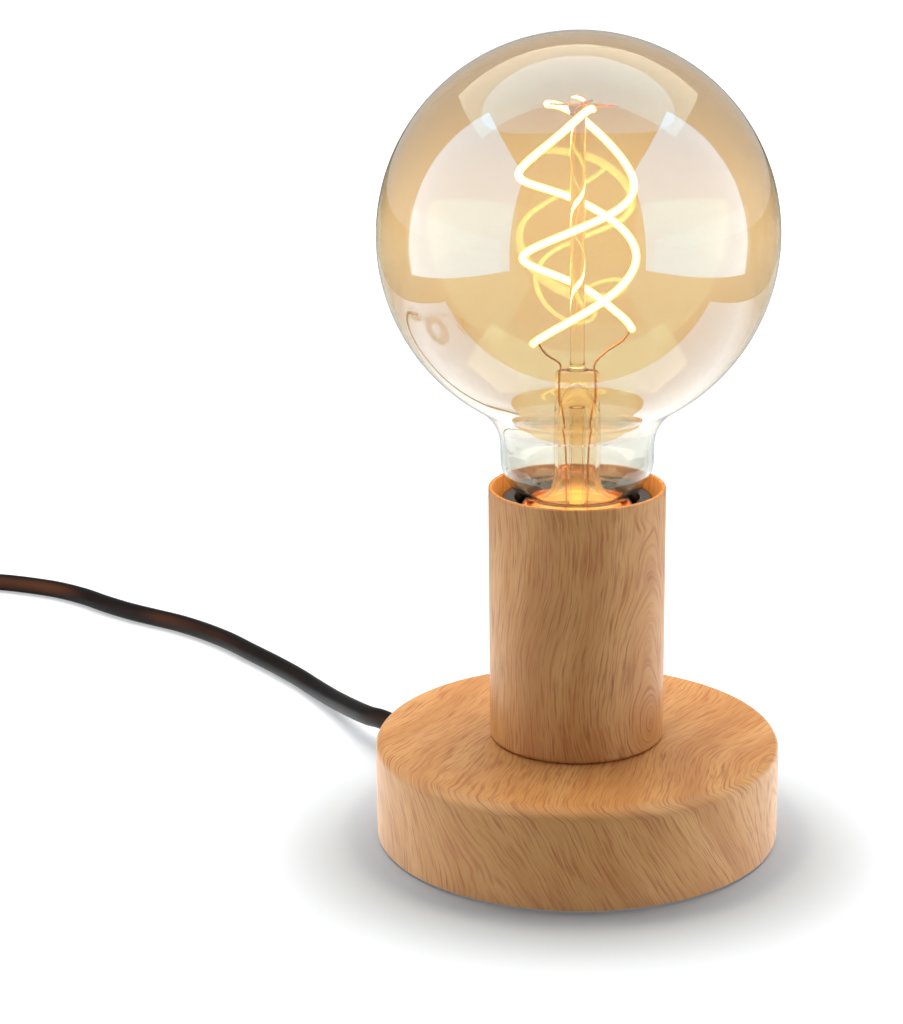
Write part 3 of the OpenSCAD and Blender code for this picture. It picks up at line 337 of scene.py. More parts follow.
AT_EXIT = spin(EXIT_AZIMUTH) @ shift(0, 0, EXIT_Z)
AT_SWITCH = shift(LANE_X, SWITCH_Y, 0) @ spin(90)
AT_PLUG = shift(PLUG_X, PLUG_Y, PLUG_Z)
ALONG_X = spin(90, "Y")

# ---- camera

PITCH, YAW, ROLL = 0.2869452, -0.0529633, -0.0122720
ahead = Vector((math.sin(YAW) * math.cos(PITCH), math.cos(YAW) * math.cos(PITCH), -math.sin(PITCH)))
level = Vector((math.cos(YAW), -math.sin(YAW), 0))
above = level.cross(ahead)
right = math.cos(ROLL) * level + math.sin(ROLL) * above
up = math.cos(ROLL) * above - math.sin(ROLL) * level
camera = in_scene("camera", bpy.data.cameras.new("camera"))
camera.data.lens, camera.data.sensor_width, camera.data.clip_start = 86.747, 36, 0.02
camera.matrix_world = Matrix.Translation((0, -0.574992, 0.252623)) @ Matrix(
    (right, up, -ahead)).transposed().to_4x4()
bpy.context.scene.camera = camera
bpy.context.scene.view_settings.view_transform = "Standard"

# ---- what kind of ray it is


def either(tree, *values):
    """The greatest of several light-path values."""
    best = values[0]
    for value in values[1:]:
        best = add(tree, "Math", (best, value), operation="MAXIMUM")
    return best


def ray_kinds(tree):
    """1 for rays from the camera, or through glass from it; 1 for mirrored rays, less those through
    smooth glass, which count as glossy too; and the light path's outputs."""
    path = add(tree, "LightPath").outputs
    seen = either(tree, path["Is Camera Ray"], path["Is Transmission Ray"])
    mirrored = add(tree, "Math", (path["Is Glossy Ray"], path["Is Transmission Ray"]),
                   operation="SUBTRACT", use_clamp=True)
    return seen, mirrored, path


# ---- finishes: plastics, rubber, cloth


def mottled(name, colours, size, detail=2, dull=None, **sockets):
    """A material whose tone drifts between two colours over size millimetres, and whose roughness
    drifts with it where dull gives its two ends."""
    made, tree, shader, place = finish_named(name, **sockets)
    mottle = add(tree, "TexNoise", {"Vector": place, "Scale": 1 / (size * MM), "Detail": detail})
    tint = add(tree, "Mix", {0: mottle, 6: srgb(colours[0]), 7: srgb(colours[1])}, data_type="RGBA")
    feed(tree, shader, {"Base Color": tint})
    if dull:
        worn = add(tree, "MapRange", (mottle, 0.3, 0.7, dull[0], dull[1]))
        feed(tree, shader, {"Roughness": worn})
    return made, tree, shader, place


def moulded(name, colours, roughness, grain=0.0, size=0.25, lift=0.02, **sockets):
    """Moulded plastic: even colour with slight clouding, and the mould's fine spark-eroded grain,
    size millimetres across and lift millimetres high."""
    made, tree, shader, place = mottled(name, colours, 9, dull=(roughness - 0.04, roughness + 0.05), **sockets)
    if grain:
        pits = add(tree, "TexNoise", {"Vector": place, "Scale": 1 / (size * MM), "Detail": 1})
        bump = add(tree, "Bump", {"Strength": grain, "Distance": lift * MM, "Height": pits})
        feed(tree, shader, {"Normal": bump})
    return made


def cord_jacket():
    """Flexible PVC, black, smooth from extrusion so that it mirrors softly. A painted reflection of
    the bulb's warm light turns it dark brown along the middle, where it faces the eye, and more so
    in stretches of a few centimetres; it stays black where it turns away."""
    made, tree, shader, place = finish_named("cord_pvc_painted_reflection", Roughness=0.42, Specular_IOR_Level=0.1)
    facing = add(tree, "LayerWeight", {"Blend": 0.5}).outputs["Facing"]
    middle = add(tree, "MapRange", (facing, 0.5, 0.12, 0.0, 1.0))
    reflection_stretch = add(tree, "TexNoise", {"Vector": place, "Scale": 1 / (40 * MM), "Detail": 1})
    warm = add(tree, "MapRange", (reflection_stretch, 0.4, 0.6, 0.1, 1.0))
    # painted reflection of the bulb's light: brown where the band facing the eye meets a stretch, over black PVC
    share = add(tree, "Math", (middle, warm), operation="MULTIPLY")
    tint = add(tree, "Mix", {0: share, 6: srgb("#0c0908"), 7: srgb("#613517")}, data_type="RGBA")
    feed(tree, shader, {"Base Color": tint})
    return made


cord_pvc_painted_reflection = cord_jacket()
core_pvc_brown = moulded("core_pvc_brown", ("#5e3119", "#6f3c20"), 0.42)
core_pvc_blue = moulded("core_pvc_blue", ("#27558d", "#3163a0"), 0.42)
# Phenolic: hard, dark brown-black, polished by the mould
holder_phenolic = moulded("holder_phenolic", ("#120f0e", "#1b1715"), 0.14)
# ABS of the switch and PVC of the plug: a fine matt grain, and a polished rocker
switch_abs = moulded("switch_abs", ("#181716", "#201f1d"), 0.46, 0.5)
rocker_abs = moulded("rocker_abs", ("#131212", "#191818"), 0.18)
plug_pvc = moulded("plug_pvc", ("#171615", "#1f1d1c"), 0.42, 0.4)
clamp_nylon = moulded("clamp_nylon", ("#ded6c0", "#e9e2cf"), 0.4)
# Porcelain: white, glazed thin, with a faint unevenness
carrier_porcelain = moulded("carrier_porcelain", ("#e2dfd7", "#efece5"), 0.22, 0.2, 1.2, 0.02)
# EVA foam: dull black with open cells about half a millimetre across
pad_foam = moulded("pad_foam", ("#1e1e20", "#2b2b2e"), 0.85, 0.8, 0.5, 0.12)
# Gypsum-resin cement: matt orange-tan with coarse grains, its warm colour and orange glow partly painted light for the
# bulb's light that falls on it
basing_cement = moulded("basing_cement", ("#c4642a", "#df8a3c"), 0.8, 0.7, 0.6, 0.1, Emission_Strength=0.7,
                        Emission_Color=(0.9, 0.16, 0.01, 1))
# Vitrite: black glass with a soft polish
cap_vitrite = moulded("cap_vitrite", ("#0b0909", "#120f0f"), 0.1)


def woven_tape():
    """Nylon hook-and-loop tape: black, dull, with a weave of 0.7 mm ribs and a fuzz on it."""
    made, tree, shader, place = finish_named("tie_nylon", Roughness=0.85, Sheen_Weight=0.3, Sheen_Roughness=0.4)
    weave = add(tree, "TexWave", {"Vector": place, "Scale": 1 / (4.4 * MM), "Distortion": 1.5,
                "Detail Scale": 3.0}, bands_direction="DIAGONAL").outputs["Fac"]
    fuzz = add(tree, "TexNoise", {"Vector": place, "Scale": 1 / (0.3 * MM), "Detail": 2})
    both = add(tree, "Math", (weave, fuzz), operation="MULTIPLY")
    tint = add(tree, "Mix", {0: both, 6: srgb("#0d0d0d"), 7: srgb("#2c2b2b")}, data_type="RGBA")
    bump = add(tree, "Bump", {"Strength": 0.9, "Distance": 0.15 * MM, "Height": both})
    feed(tree, shader, {"Base Color": tint, "Normal": bump})
    return made


def fibreglass_board():
    """Solder-masked fibreglass: green lacquer over a weave that shows through every millimetre."""
    made, tree, shader, place = finish_named("board_fibreglass", Roughness=0.35)
    weave = add(tree, "TexChecker", {"Vector": place, "Scale": 1 / (1.1 * MM),
                "Color1": srgb("#1c4f33"), "Color2": srgb("#235f3d")})
    feed(tree, shader, {"Base Color": weave})
    return made


# ---- finishes: metals


def metal(name, colours, roughness, streak=0.0, speck=2.5):
    """Sheet or turned metal: tone mottled over speck millimetres, brushed round Z where it has a streak."""
    made, tree, shader, place = mottled(name, colours, speck, 3, (roughness - 0.06, roughness + 0.08), Metallic=1.0)
    if streak:
        rings = add(tree, "Mapping", {"Vector": place, "Scale": (60, 60, 9000)})
        lines = add(tree, "TexNoise", {"Vector": rings, "Scale": 1.0, "Detail": 2})
        bump = add(tree, "Bump", {"Strength": streak, "Distance": 0.01 * MM, "Height": lines})
        feed(tree, shader, {"Normal": bump})
    return made


# Zinc plate on steel, cool and slightly cloudy; nickel on brass sheet; bright brass; copper-clad wire
zinc_plate = metal("zinc_plate", ("#a9adb2", "#c3c7cb"), 0.32, speck=4)
nickel_plate = metal("nickel_plate", ("#b4b0a8", "#cbc8c1"), 0.2, 0.25)
brass_sheet = metal("brass_sheet", ("#b88b3c", "#d2a957"), 0.24)
copper_wire = metal("copper_clad_wire", ("#c08a52", "#d8a468"), 0.3, speck=1)


def cast_iron():
    """Grey iron under thin primer: dark, rough, with pits about a millimetre across."""
    made, tree, shader, place = finish_named("cast_iron_primed", Metallic=0.2, Roughness=0.75)
    pits = add(tree, "TexNoise", {"Vector": place, "Scale": 1 / (1.1 * MM), "Detail": 5, "Roughness": 0.6})
    tint = add(tree, "ValToRGB", {0: pits}, [(0.3, srgb("#353537")), (0.7, srgb("#59595b"))])
    bump = add(tree, "Bump", {"Strength": 0.7, "Distance": 0.25 * MM, "Height": pits})
    feed(tree, shader, {"Base Color": tint, "Normal": bump})
    return made


# ---- finishes: oak-print film


def oak_film():
    """Water-transfer film in an oak print under satin lacquer: brown streaks about half a millimetre
    wide and a centimetre long, which follow the print's second axis and sway with slow drifts."""
    made, tree, shader, body = finish_named("oak_print_film", Specular_IOR_Level=0.4, Coat_Weight=0.2,
                                            Coat_Roughness=0.28)
    drift = add(tree, "TexNoise", {"Vector": body, "Scale": 1 / (38 * MM), "Detail": 0.5})
    sway = add(tree, "TexNoise", {"Vector": body, "Scale": 1 / (8 * MM), "Detail": 1.0})
    push = add(tree, "Math", (drift, 15.0), operation="MULTIPLY")
    push = add(tree, "Math", (sway, 1.3, push), operation="MULTIPLY_ADD")
    moved = add(tree, "VectorMath", (add(tree, "UVMap", uv_map="film"), add(tree, "CombineXYZ", {0: push})))
    layers = []
    for width, length, detail in ((0.54, 11, 2.0), (0.3, 7, 1.0), (9, 60, 1.5)):    # millimetres
        scaled = add(tree, "Mapping", {"Vector": moved, "Scale": (1 / width, 1 / length, 1)})
        layers.append(add(tree, "TexNoise", {"Vector": scaled, "Scale": 1.0, "Detail": detail, "Roughness": 0.55},
                          noise_dimensions="2D"))
    streaks, fine, bands = layers
    ground = add(tree, "ValToRGB", {0: bands}, [(0.3, srgb("#be8849")), (0.5, srgb("#ca9353")),
                                                (0.7, srgb("#d39e61"))])
    line = add(tree, "MapRange", (streaks, 0.50, 0.33, 0.0, 0.64))
    hair = add(tree, "MapRange", (fine, 0.50, 0.30, 0.0, 0.35))
    marks = add(tree, "Math", (line, hair), operation="ADD", use_clamp=True)
    ink = add(tree, "ValToRGB", {0: bands}, [(0.4, srgb("#ad622f")), (0.6, srgb("#a4652f"))])
    printed = add(tree, "Mix", {0: marks, 6: ground, 7: ink}, data_type="RGBA")
    satin = add(tree, "MapRange", {0: streaks, 3: 0.58, 4: 0.48})
    bump = add(tree, "Bump", {"Strength": 0.3, "Distance": 0.03 * MM, "Height": streaks})
    feed(tree, shader, {"Base Color": printed, "Roughness": satin, "Normal": bump})
    return made


# ---- finishes: glass and light


def glass(name, tint, edge_tint, ior, gloss_tint, fade=None, glow=None):
    """Smooth blown glass that lets the lamps' light through to what is inside. Its tint deepens
    towards grazing sight, as a coat does. Heights are in millimetres: the tint fades from one to
    another, and a painted glow, most of all below a third, stands for the light it catches."""
    made, tree, shader, place = finish_named(name, Roughness=0.0, Transmission_Weight=1.0, IOR=ior,
                                             Specular_Tint=gloss_tint)
    facing = add(tree, "LayerWeight", {"Blend": 0.35}).outputs["Facing"]
    colour = add(tree, "Mix", {0: facing, 6: tint, 7: edge_tint}, data_type="RGBA")
    height = add(tree, "SeparateXYZ", {0: place}).outputs["Z"]
    if fade:
        share = add(tree, "MapRange", (height, fade[0] * MM, fade[1] * MM), interpolation_type="SMOOTHSTEP")
        colour = add(tree, "Mix", {0: share, 6: fade[2], 7: colour}, data_type="RGBA")
    if glow:
        # painted glow: emission that stands for the filaments' light caught low in the glass
        low = add(tree, "MapRange", (height, glow[0] * MM, glow[1] * MM, 0.03, glow[2]))
        feed(tree, shader, {"Emission Color": glow[3], "Emission Strength": low})
    feed(tree, shader, {"Base Color": colour})
    clear = add(tree, "BsdfTransparent", {0: (0.94, 0.92, 0.9, 1)})
    lamp_rays = add(tree, "LightPath").outputs["Is Shadow Ray"]
    both = add(tree, "MixShader", (lamp_rays, shader, clear))
    feed(tree, tree.nodes["Material Output"], {0: both})
    return made


# Soda-lime glass with a gold coat that mirrors a little blue; the neck below it is bare
NECK_TINT, WHITE = (0.80, 0.78, 0.71, 1), (1, 1, 1, 1)
COAT_FROM, COAT_FADE = 104, (98, 108)   # where the coated wall begins, and its tint's fade to the bare one's
amber_glass = glass("amber_coated_glass", (0.72, 0.59, 0.40, 1), (0.71, 0.59, 0.41, 1), 1.9, (0.06, 0.45, 1.0, 1),
                    (*COAT_FADE, NECK_TINT))
neck_glass = glass("bare_soda_glass", NECK_TINT, (0.50, 0.49, 0.43, 1), 1.45, WHITE)
# Lead glass of the stem and rod, clear, with a painted warm glow low down for the filaments' light it catches
stem_glass = glass("stem_lead_glass", srgb("#fbf6ea"), srgb("#f0e4cf"), 1.3, WHITE,
                   glow=(92, 82, 0.5, (1.0, 0.5, 0.14, 1)))


def lit(name, colours, chip, plain, strength, **sockets):
    """A glowing part of a filament, mottled over chip millimetres. To mirrored rays off smooth glass it
    glows redder and stronger, a painted reflection, as the coat's blue mirror would turn its gold to grey."""
    made, tree, shader, _ = mottled(name, colours, chip, **sockets)
    _, mirror, path = ray_kinds(tree)
    # painted reflection: smooth glass mirrors this redder, stronger glow
    share = add(tree, "Math", (mirror, path["Is Singular Ray"]), operation="MULTIPLY")
    tint = add(tree, "Mix", {0: share, 6: plain, 7: (1.0, 0.14, 0.008, 1)}, data_type="RGBA")
    level = add(tree, "Mix", {0: share, 2: strength, 3: 50.0})
    feed(tree, shader, {"Emission Color": tint, "Emission Strength": level})
    return made


# Silicone with yellow phosphor, half see-through, round a strip of diodes about as warm as a candle
jacket_finish = lit("phosphor_silicone", ("#f0a832", "#ffc85a"), 1.5, (1.0, 0.70, 0.30, 1), 3.2, Roughness=0.4,
                    Alpha=0.5)
strip_finish = lit("lit_diode_strip", ("#ffd9a0", "#fff0cf"), 1.0, (1.0, 0.88, 0.72, 1), 10.0)
oak, tie_nylon, board_finish, iron_cast = oak_film(), woven_tape(), fibreglass_board(), cast_iron()

# ---- cord, from the base to the plug


def exit_point(x, y=0.0, z=0.0):
    """A point in the exit's own frame: x outwards, y across, z above its axis."""
    return AT_EXIT @ Vector((x * MM, y * MM, z * MM)) / MM


def route(*points):
    """Points of a cord, which lies on the floor where a point has no height."""
    return [(*point, CORD_Z)[:3] for point in points]


lead_route = route(
    *(exit_point(x) for x in (JACKET_END, 26, 38, 50, 60, 70)), (-53.5, 53.5, 8), (-57, 58, 7.1), (-61, 65, 5.9),
    (-65, 72.5, 4.7), (-69.5, 81, 3.5), (-75.5, 91.5), (-81.5, 100.5), (-89, 110.5), (-97.5, 121), (-106, 131.5),
    (-115, 140.5), (-123.5, 147.5), (-132, 153), (-140.5, 158.5), (-149.5, 165.5), (-158.5, 173.5), (-168, 180),
    (-178, 184.5), (-189, 188), (-201, 190), (-213, 189.5), (-225, 186.5), (-236, 180.5), (-245, 172, 3.6),
    (-251, 162.5, 5.4), (-255, 153, 7), (LANE_X, 145, 7.5), (LANE_X, 139, 7.5))
link_route = [(LANE_X, y, z) for y, z in (
    (89, 7.5), (83, 7.5), (73, 6.6), (62, 5), (52, 4), (42, COIL_Z), (35.4, COIL_Z))]
tail_route = [(LANE_X, y, z) for y, z in (
    (24.6, COIL_Z + COIL_PITCH), (18, COIL_Z + COIL_PITCH), (7, 8.6), (-5, 6.2), (-17, 4), (-28, CORD_Z))]
tail_route += route((-254.5, -38), (-250.5, -47, 3.2), (-244, -55, 4.4), (-236, -60.5, 5.8))
tail_route += [(PLUG_X + x, PLUG_Y, PLUG_Z) for x in (-3, 0, 8)]


def coil_point(u):
    """The coil after u turns: inwards on the lower layer, then up and outwards on the upper one."""
    rise = min(max((u - COIL_TURNS + 0.25) / 0.5, 0), 1)
    r, a = COIL_IN + COIL_PITCH * abs(u - COIL_TURNS), math.pi + TAU * u
    return Vector((LANE_X + COIL_OUT + r * math.cos(a), COIL_Y + r * math.sin(a),
                   COIL_Z + COIL_PITCH * rise * rise * (3 - 2 * rise)))


turns = [coil_point(k / 36) for k in range(2 * COIL_TURNS * 36 + 1)]
lead_line = along(lead_route, 5)
coil_line = along(link_route, 5)[:-1] + turns + along(tail_route, 5)[1:]
lead_cord = out(tube("cord_to_switch", lead_line, CORD_R, cord_pvc_painted_reflection, sides=24), "base", "black_cord",
                "cord_end", "cord_lead")
coil_cord = out(tube("cord_to_plug", coil_line, CORD_R, cord_pvc_painted_reflection, sides=20), "base", "black_cord",
                "cord_link", "cord_coil", "cord_tail")

# ---- base and sleeve


GRAIN = math.radians(62)                # which way the grain of the base's top runs
BEND_FROM, BEND_R = -12, 40             # where it starts to bend towards the front, and how gently
EDGE_SLANT, EDGE_FALL = 0.3, 9          # how far it slants round past the edge, in radians, and in what drop


def base_film(outline):
    """The print of the base, as (across, along) the grain: it lies flat on the top, bends at the front,
    and is drawn over the edge, where it slants before it runs down the side."""
    run = [0.0]
    for (r0, z0), (r1, z1) in zip(outline, outline[1:]):
        run.append(run[-1] + math.hypot(r1 - r0, z1 - z0))
    top = max(i for i, (r, z) in enumerate(outline) if z > BASE_TOP - 0.01)
    whole, brim = run[top] + outline[top][0], BASE_R - 1

    def place(i, turn):
        s, a = whole - run[i], TAU * turn
        down = max(s - brim, 0)
        a -= EDGE_SLANT * (1 - math.exp(-down / EDGE_FALL))
        s = min(s, brim)
        x, y = s * math.cos(a), s * math.sin(a)
        bend = 0.5 * max(BEND_FROM - y, 0) ** 2 / BEND_R
        return x * math.sin(GRAIN) - y * math.cos(GRAIN) - bend, x * math.cos(GRAIN) + y * math.sin(GRAIN) - down
    return place


shell_outline = rounded([
    (BASE_R, SKIRT_Z, 0.15), (BASE_R, BASE_TOP, BASE_EDGE), (HOLE_R, BASE_TOP, 0.2),
    (HOLE_R, BASE_TOP - BASE_WALL, 0.2), (BASE_R - BASE_WALL, BASE_TOP - BASE_WALL, BASE_EDGE - BASE_WALL),
    (BASE_R - BASE_WALL, SKIRT_Z, 0.15)], step=9)
# From the lip of the hole inwards the shell is bare zinc
lip = next(i for i, (r, z) in enumerate(shell_outline) if z < BASE_TOP - 0.5 and r < HOLE_R + 1)
hidden_rows = set(range(lip, len(shell_outline) - 1))
base_shell = turned("base_shell_film", shell_outline, [oak, zinc_plate], 192, base_film(shell_outline),
                    inside=hidden_rows)
base_shell = cut(base_shell, bar(4.5, 40, 60, oak, AT_EXIT @ ALONG_X))
out(base_shell, "base", "wood_print_film", "base_shell")

# The knot in the sleeve's grain: its place, how much longer than wide its rings are, and how far
# above and below it they reach before the grain runs straight
KNOT_TURN, KNOT_Z, KNOT_LONG, KNOT_REACH = -0.09, 34, 1.6, 15
PRINT_APART, KNOT_LEAN = 300, 0.3       # a part of the print away from the base's, and how its streaks lean


def sleeve_film(outline):
    """The print of the sleeve, as (across, along) the grain: long ovals round one knot."""
    def place(i, turn):
        across = (turn - KNOT_TURN + 0.5) % 1 - 0.5
        u, v = across * TAU * SLEEVE_R, outline[i][1] - KNOT_Z
        away = math.hypot(u, KNOT_REACH * math.tanh(v / KNOT_REACH) / KNOT_LONG)
        return PRINT_APART + away, v + KNOT_LEAN * abs(u)
    return place


sleeve_outline = rounded([
    (HOLE_R, BASE_TOP + 0.02, 0.2), (SLEEVE_R, BASE_TOP + 0.02, 1.2), (SLEEVE_R, SLEEVE_TOP, 0.35),
    (SLEEVE_R - SLEEVE_WALL, SLEEVE_TOP, 0.35), (SLEEVE_R - SLEEVE_WALL, BASE_TOP + SLEEVE_FLOOR, 0.6),
    (HOLE_R, BASE_TOP + SLEEVE_FLOOR, 0.2)], step=15)


def banded(outline, longest):
    """The same outline with its long flats divided, for a print that bends along them."""
    line = []
    for a, b in zip(outline, outline[1:] + outline[:1]):
        parts = max(1, round(math.dist(a, b) / longest))
        line += [(a[0] + (b[0] - a[0]) * k / parts, a[1] + (b[1] - a[1]) * k / parts) for k in range(parts)]
    return line


sleeve_outline = banded(sleeve_outline, 3)
out(turned("sleeve_film", sleeve_outline, oak, 160, sleeve_film(sleeve_outline)), "base", "wood_print_film", "sleeve")

pad_outline = rounded([(0, 0, 0), (PAD_R, 0, 0.25), (PAD_R, PAD_T, 0.2), (0, PAD_T, 0)], closed=False)
out(turned("foam_pad", pad_outline, pad_foam, 120, closed=False), "base", "felt_pad", "base_pad")

# ---- cord bush


def bush_outline():
    """Two flanges round the wall, then a nose that tapers in seven ribs."""
    seat = CORD_R + 1.7
    line = [(CORD_R + 0.1, 45), (seat + 0.4, 45), (seat + 1.2, 47.8), (seat, 48.2), (seat, 50.2),
            (seat + 1.6, 50.2), (seat + 1.6, 51.4), (seat + 1.0, 52.1), (seat - 0.1, 52.4)]
    for k in range(7):
        r, x = seat - 0.15 - 0.11 * k, 53.4 + 2.2 * k
        line += [(r - 0.45, x), (r - 0.45, x + 0.6), (r, x + 0.9), (r - 0.04, x + 1.9)]
    return line + [(CORD_R + 0.7, 69.6), (CORD_R + 0.45, 70), (CORD_R + 0.1, 70)]


bush = out(turned("cord_bush_ribbed", bush_outline(), plug_pvc, 48, place=AT_EXIT @ ALONG_X, sharp=50),
           "base", "black_plastic", "cord_bush")

# ---- lampholder

shell_lip = rounded([
    (SPIGOT_R, 45.05, 0.2), (SPIGOT_R, JOINT_Z - 0.05, 0), (HOLDER_R, JOINT_Z, 0.3), (HOLDER_R, 75, 6),
    (RIM_R, RIM_Z, 0.9), (MOUTH_R, RIM_Z, 0.5), (MOUTH_R - 0.6, RIM_Z - 2.4, 0.2),
    (HOLDER_BORE_R, RIM_Z - 2.6, 0.3), (HOLDER_BORE_R, 62.2, 0.2), (SCREW_SHELL_R + 0.4, 62.2, 0.2),
    (SCREW_SHELL_R + 0.4, SHELL_Z, 0.2), (HOLDER_BORE_R, SHELL_Z, 0.2), (HOLDER_BORE_R, 45.05, 0.2)], step=12)
out(turned("holder_ring", shell_lip, holder_phenolic, 128), "base", "black_holder", "holder_shell")


def fade(x, start, end):
    t = min(max((x - start) / (end - start), 0), 1)
    return t * t * (3 - 2 * t)


def threaded_sheet(name, outer, sheet, low, high, finish, steps=120):
    """A sheet cup with a rolled round thread: outer(z, a) is its outer radius, and sheet its wall."""
    rows = max(2, round((high - low) / 0.3))
    levels = [low + (high - low) * k / rows for k in range(rows + 1)]
    rings = [[(r * math.cos(TAU * k / steps), r * math.sin(TAU * k / steps), z)
              for k in range(steps) for r in [outer(z, k / steps) - inset]]
             for inset, zs in ((0, levels), (sheet, levels[::-1])) for z in zs]
    return lofted(name, rings, finish, hollow=True, sharp=60)


def thread_wave(z, turn):
    """How far the round thread is cut in, from 0 on its crest to 1 at its root, right-handed."""
    return 0.5 - 0.5 * math.cos(TAU * (z / THREAD_PITCH - turn))


def cap_radius(z, turn):
    crest = fade(z, TIP_Z + 8, TIP_Z + 9.5)
    depth = 1 - (1 - thread_wave(z, turn)) * crest
    depth *= 1 - fade(z, TIP_Z + 19.5, TIP_Z + 21)
    foot = 1 - fade(z, TIP_Z + 5, TIP_Z + 7.2)
    return CAP_R - THREAD_DEPTH * depth - (CAP_R - THREAD_DEPTH - CAP_FOOT_R) * foot


def shell_radius(z, turn):
    cut_in = fade(z, TIP_Z + 6, TIP_Z + 8) * (1 - fade(z, TIP_Z + 17.5, TIP_Z + 19.5))
    return CAP_R + THREAD_GAP - THREAD_DEPTH * thread_wave(z, turn) * cut_in + CAP_SHEET


out(threaded_sheet("cap_sheet_threaded", cap_radius, 0.3, TIP_Z + 5, CAP_TOP, nickel_plate), "bulb", "nickel",
    "lamp_cap")
out(threaded_sheet("holder_thread_sheet", shell_radius, CAP_SHEET, SHELL_Z, SHELL_TOP, brass_sheet), "base",
    "brass", "screw_shell")

# ---- bulb glass


def arc(cx, cz, radius, start, end, steps):
    """Points of an arc in the half plane, angles in degrees from +radius towards +height."""
    return [(cx + radius * math.cos(math.radians(start + (end - start) * k / steps)),
             cz + radius * math.sin(math.radians(start + (end - start) * k / steps))) for k in range(steps + 1)]


def globe_wall(inset, foot):
    """Half section of the glass, drawn in from its outer face by the inset, from tail to crown."""
    fillet_x = NECK_R + NECK_FILLET
    fillet_z = GLOBE_Z - math.sqrt((GLOBE_R + NECK_FILLET) ** 2 - fillet_x ** 2)
    meet = math.degrees(math.atan2(GLOBE_Z - fillet_z, fillet_x))
    low = math.degrees(math.acos((TAIL_R - NECK_R + SHOULDER_R) / SHOULDER_R))
    return ([(TAIL_R - inset, foot)]
            + arc(NECK_R - SHOULDER_R, SHOULDER_Z, SHOULDER_R - inset, -low, 0, 14)
            + [(NECK_R - inset, z) for z in (SHOULDER_Z + 0.5, fillet_z - 0.5)]
            + arc(fillet_x, fillet_z, NECK_FILLET + inset, 180, 180 - meet, 12)
            + arc(0, GLOBE_Z, GLOBE_R - inset, -meet, 90, 72)[1:-1] + [(0, GLOBE_Z + GLOBE_R - inset)])


glass_wall = globe_wall(0, TAIL_Z) + globe_wall(GLASS_T, TAIL_Z)[::-1]
rows = len(glass_wall)
first = next(i for i, (r, z) in enumerate(glass_wall) if z > COAT_FROM)
bare = {*range(first), *range(rows - 1 - first, rows)}
out(turned("globe_glass", glass_wall, [amber_glass, neck_glass], 160, sharp=80, inside=bare), "bulb",
    "amber_glass", "glass_globe")


def oval(a, b, z, power, count=64):
    """A ring between an ellipse and, with a higher power, a rounded oblong."""
    ring = []
    for k in range(count):
        c, s = math.cos(TAU * k / count), math.sin(TAU * k / count)
        ring.append((a * math.copysign(abs(c) ** (2 / power), c), b * math.copysign(abs(s) ** (2 / power), s), z))
    return ring


def stem_rings(wall):
    """The stem's flare, tube and flat pinch, drawn in by its wall."""
    foot = TAIL_R - GLASS_T - 0.05 - wall
    bend = STEM_R + FLARE_R
    rings = [(TAIL_Z + 0.4, foot, foot, 2)]
    for k in range(13):
        a = math.radians(76 - 76 * k / 12)
        x = bend - (FLARE_R + wall) * math.cos(a)
        z = FLARE_Z - (FLARE_R + wall) * math.sin(a)
        if x < foot:
            rings.append((z, x, x, 2))
    r = STEM_R - wall
    rings += [(96, r, r, 2), (100, r, r, 2), (103, r, r, 2), (105, r, r * 0.93, 2.1), (107, r * 0.99, r * 0.7, 2.4)]
    if wall:
        rings += [(109, 4.1, 1.9, 2.4), (111, 3.7, 1.5, 2.2), (112.8, 3.0, 1.3, 2), (114.2, 1.9, 0.9, 2),
                  (114.9, 0.8, 0.4, 2)]
    else:
        rings += [(109, 5.5, 2.9, 2.8), (110.5, 5.4, 2.6, 3.2), (113, 5.35, 2.55, 3.4), (116.6, 5.35, 2.55, 3.4),
                  (117.5, 5.15, 2.4, 3.2), (118, 4.5, 1.8, 2.8)]
    return [oval(a, b, z, power) for z, a, b, power in rings]


out(lofted("stem_glasswork", stem_rings(0)[::-1] + stem_rings(1), stem_glass, sharp=80), "bulb",
    "clear_glass", "stem")

exhaust = ([(0, TAIL_Z + 2)] + arc(0, TAIL_Z + 4, 2, -80, 0, 8) + [(2, 100), (2, 108.8), (1.3, 108.8), (1.3, 100)]
           + arc(0, TAIL_Z + 4.6, 1.3, 0, -80, 6) + [(0, TAIL_Z + 3.3)])
out(turned("exhaust_tube_glass", exhaust, stem_glass, 40, closed=False, sharp=80), "bulb", "clear_glass",
    "exhaust_tube")

BUTTON_R = ROD_R + 0.7
rod = ([(0, PINCH_TOP + 0.03), (2.7, PINCH_TOP + 0.03), (2.75, PINCH_TOP + 0.3), (2.2, PINCH_TOP + 0.8),
        (ROD_R + 0.1, PINCH_TOP + 1.6), (ROD_R, PINCH_TOP + 3)] + [(ROD_R, z) for z in (140, 160, ROD_TOP - 4)]
       + [(ROD_R + 0.15, ROD_TOP - 2.6)] + arc(0, ROD_TOP, BUTTON_R, -38, 90, 14)[:-1] + [(0, ROD_TOP + BUTTON_R)])
out(turned("rod_glass", rod, stem_glass, 48, closed=False, sharp=80), "bulb", "clear_glass", "centre_rod")

cement = rounded([(TAIL_R + 0.02, TAIL_Z, 0.1), (CAP_R - CAP_SHEET - 0.02, TAIL_Z, 0.1),
                  (CAP_R - CAP_SHEET - 0.02, CAP_TOP - 0.3, 0.1), (TAIL_R + 0.02, CAP_TOP - 0.3, 0.1)])
out(turned("cement_ring", cement, basing_cement, 96), "bulb", "cement", "basing_cement")

# ---- wires and filaments


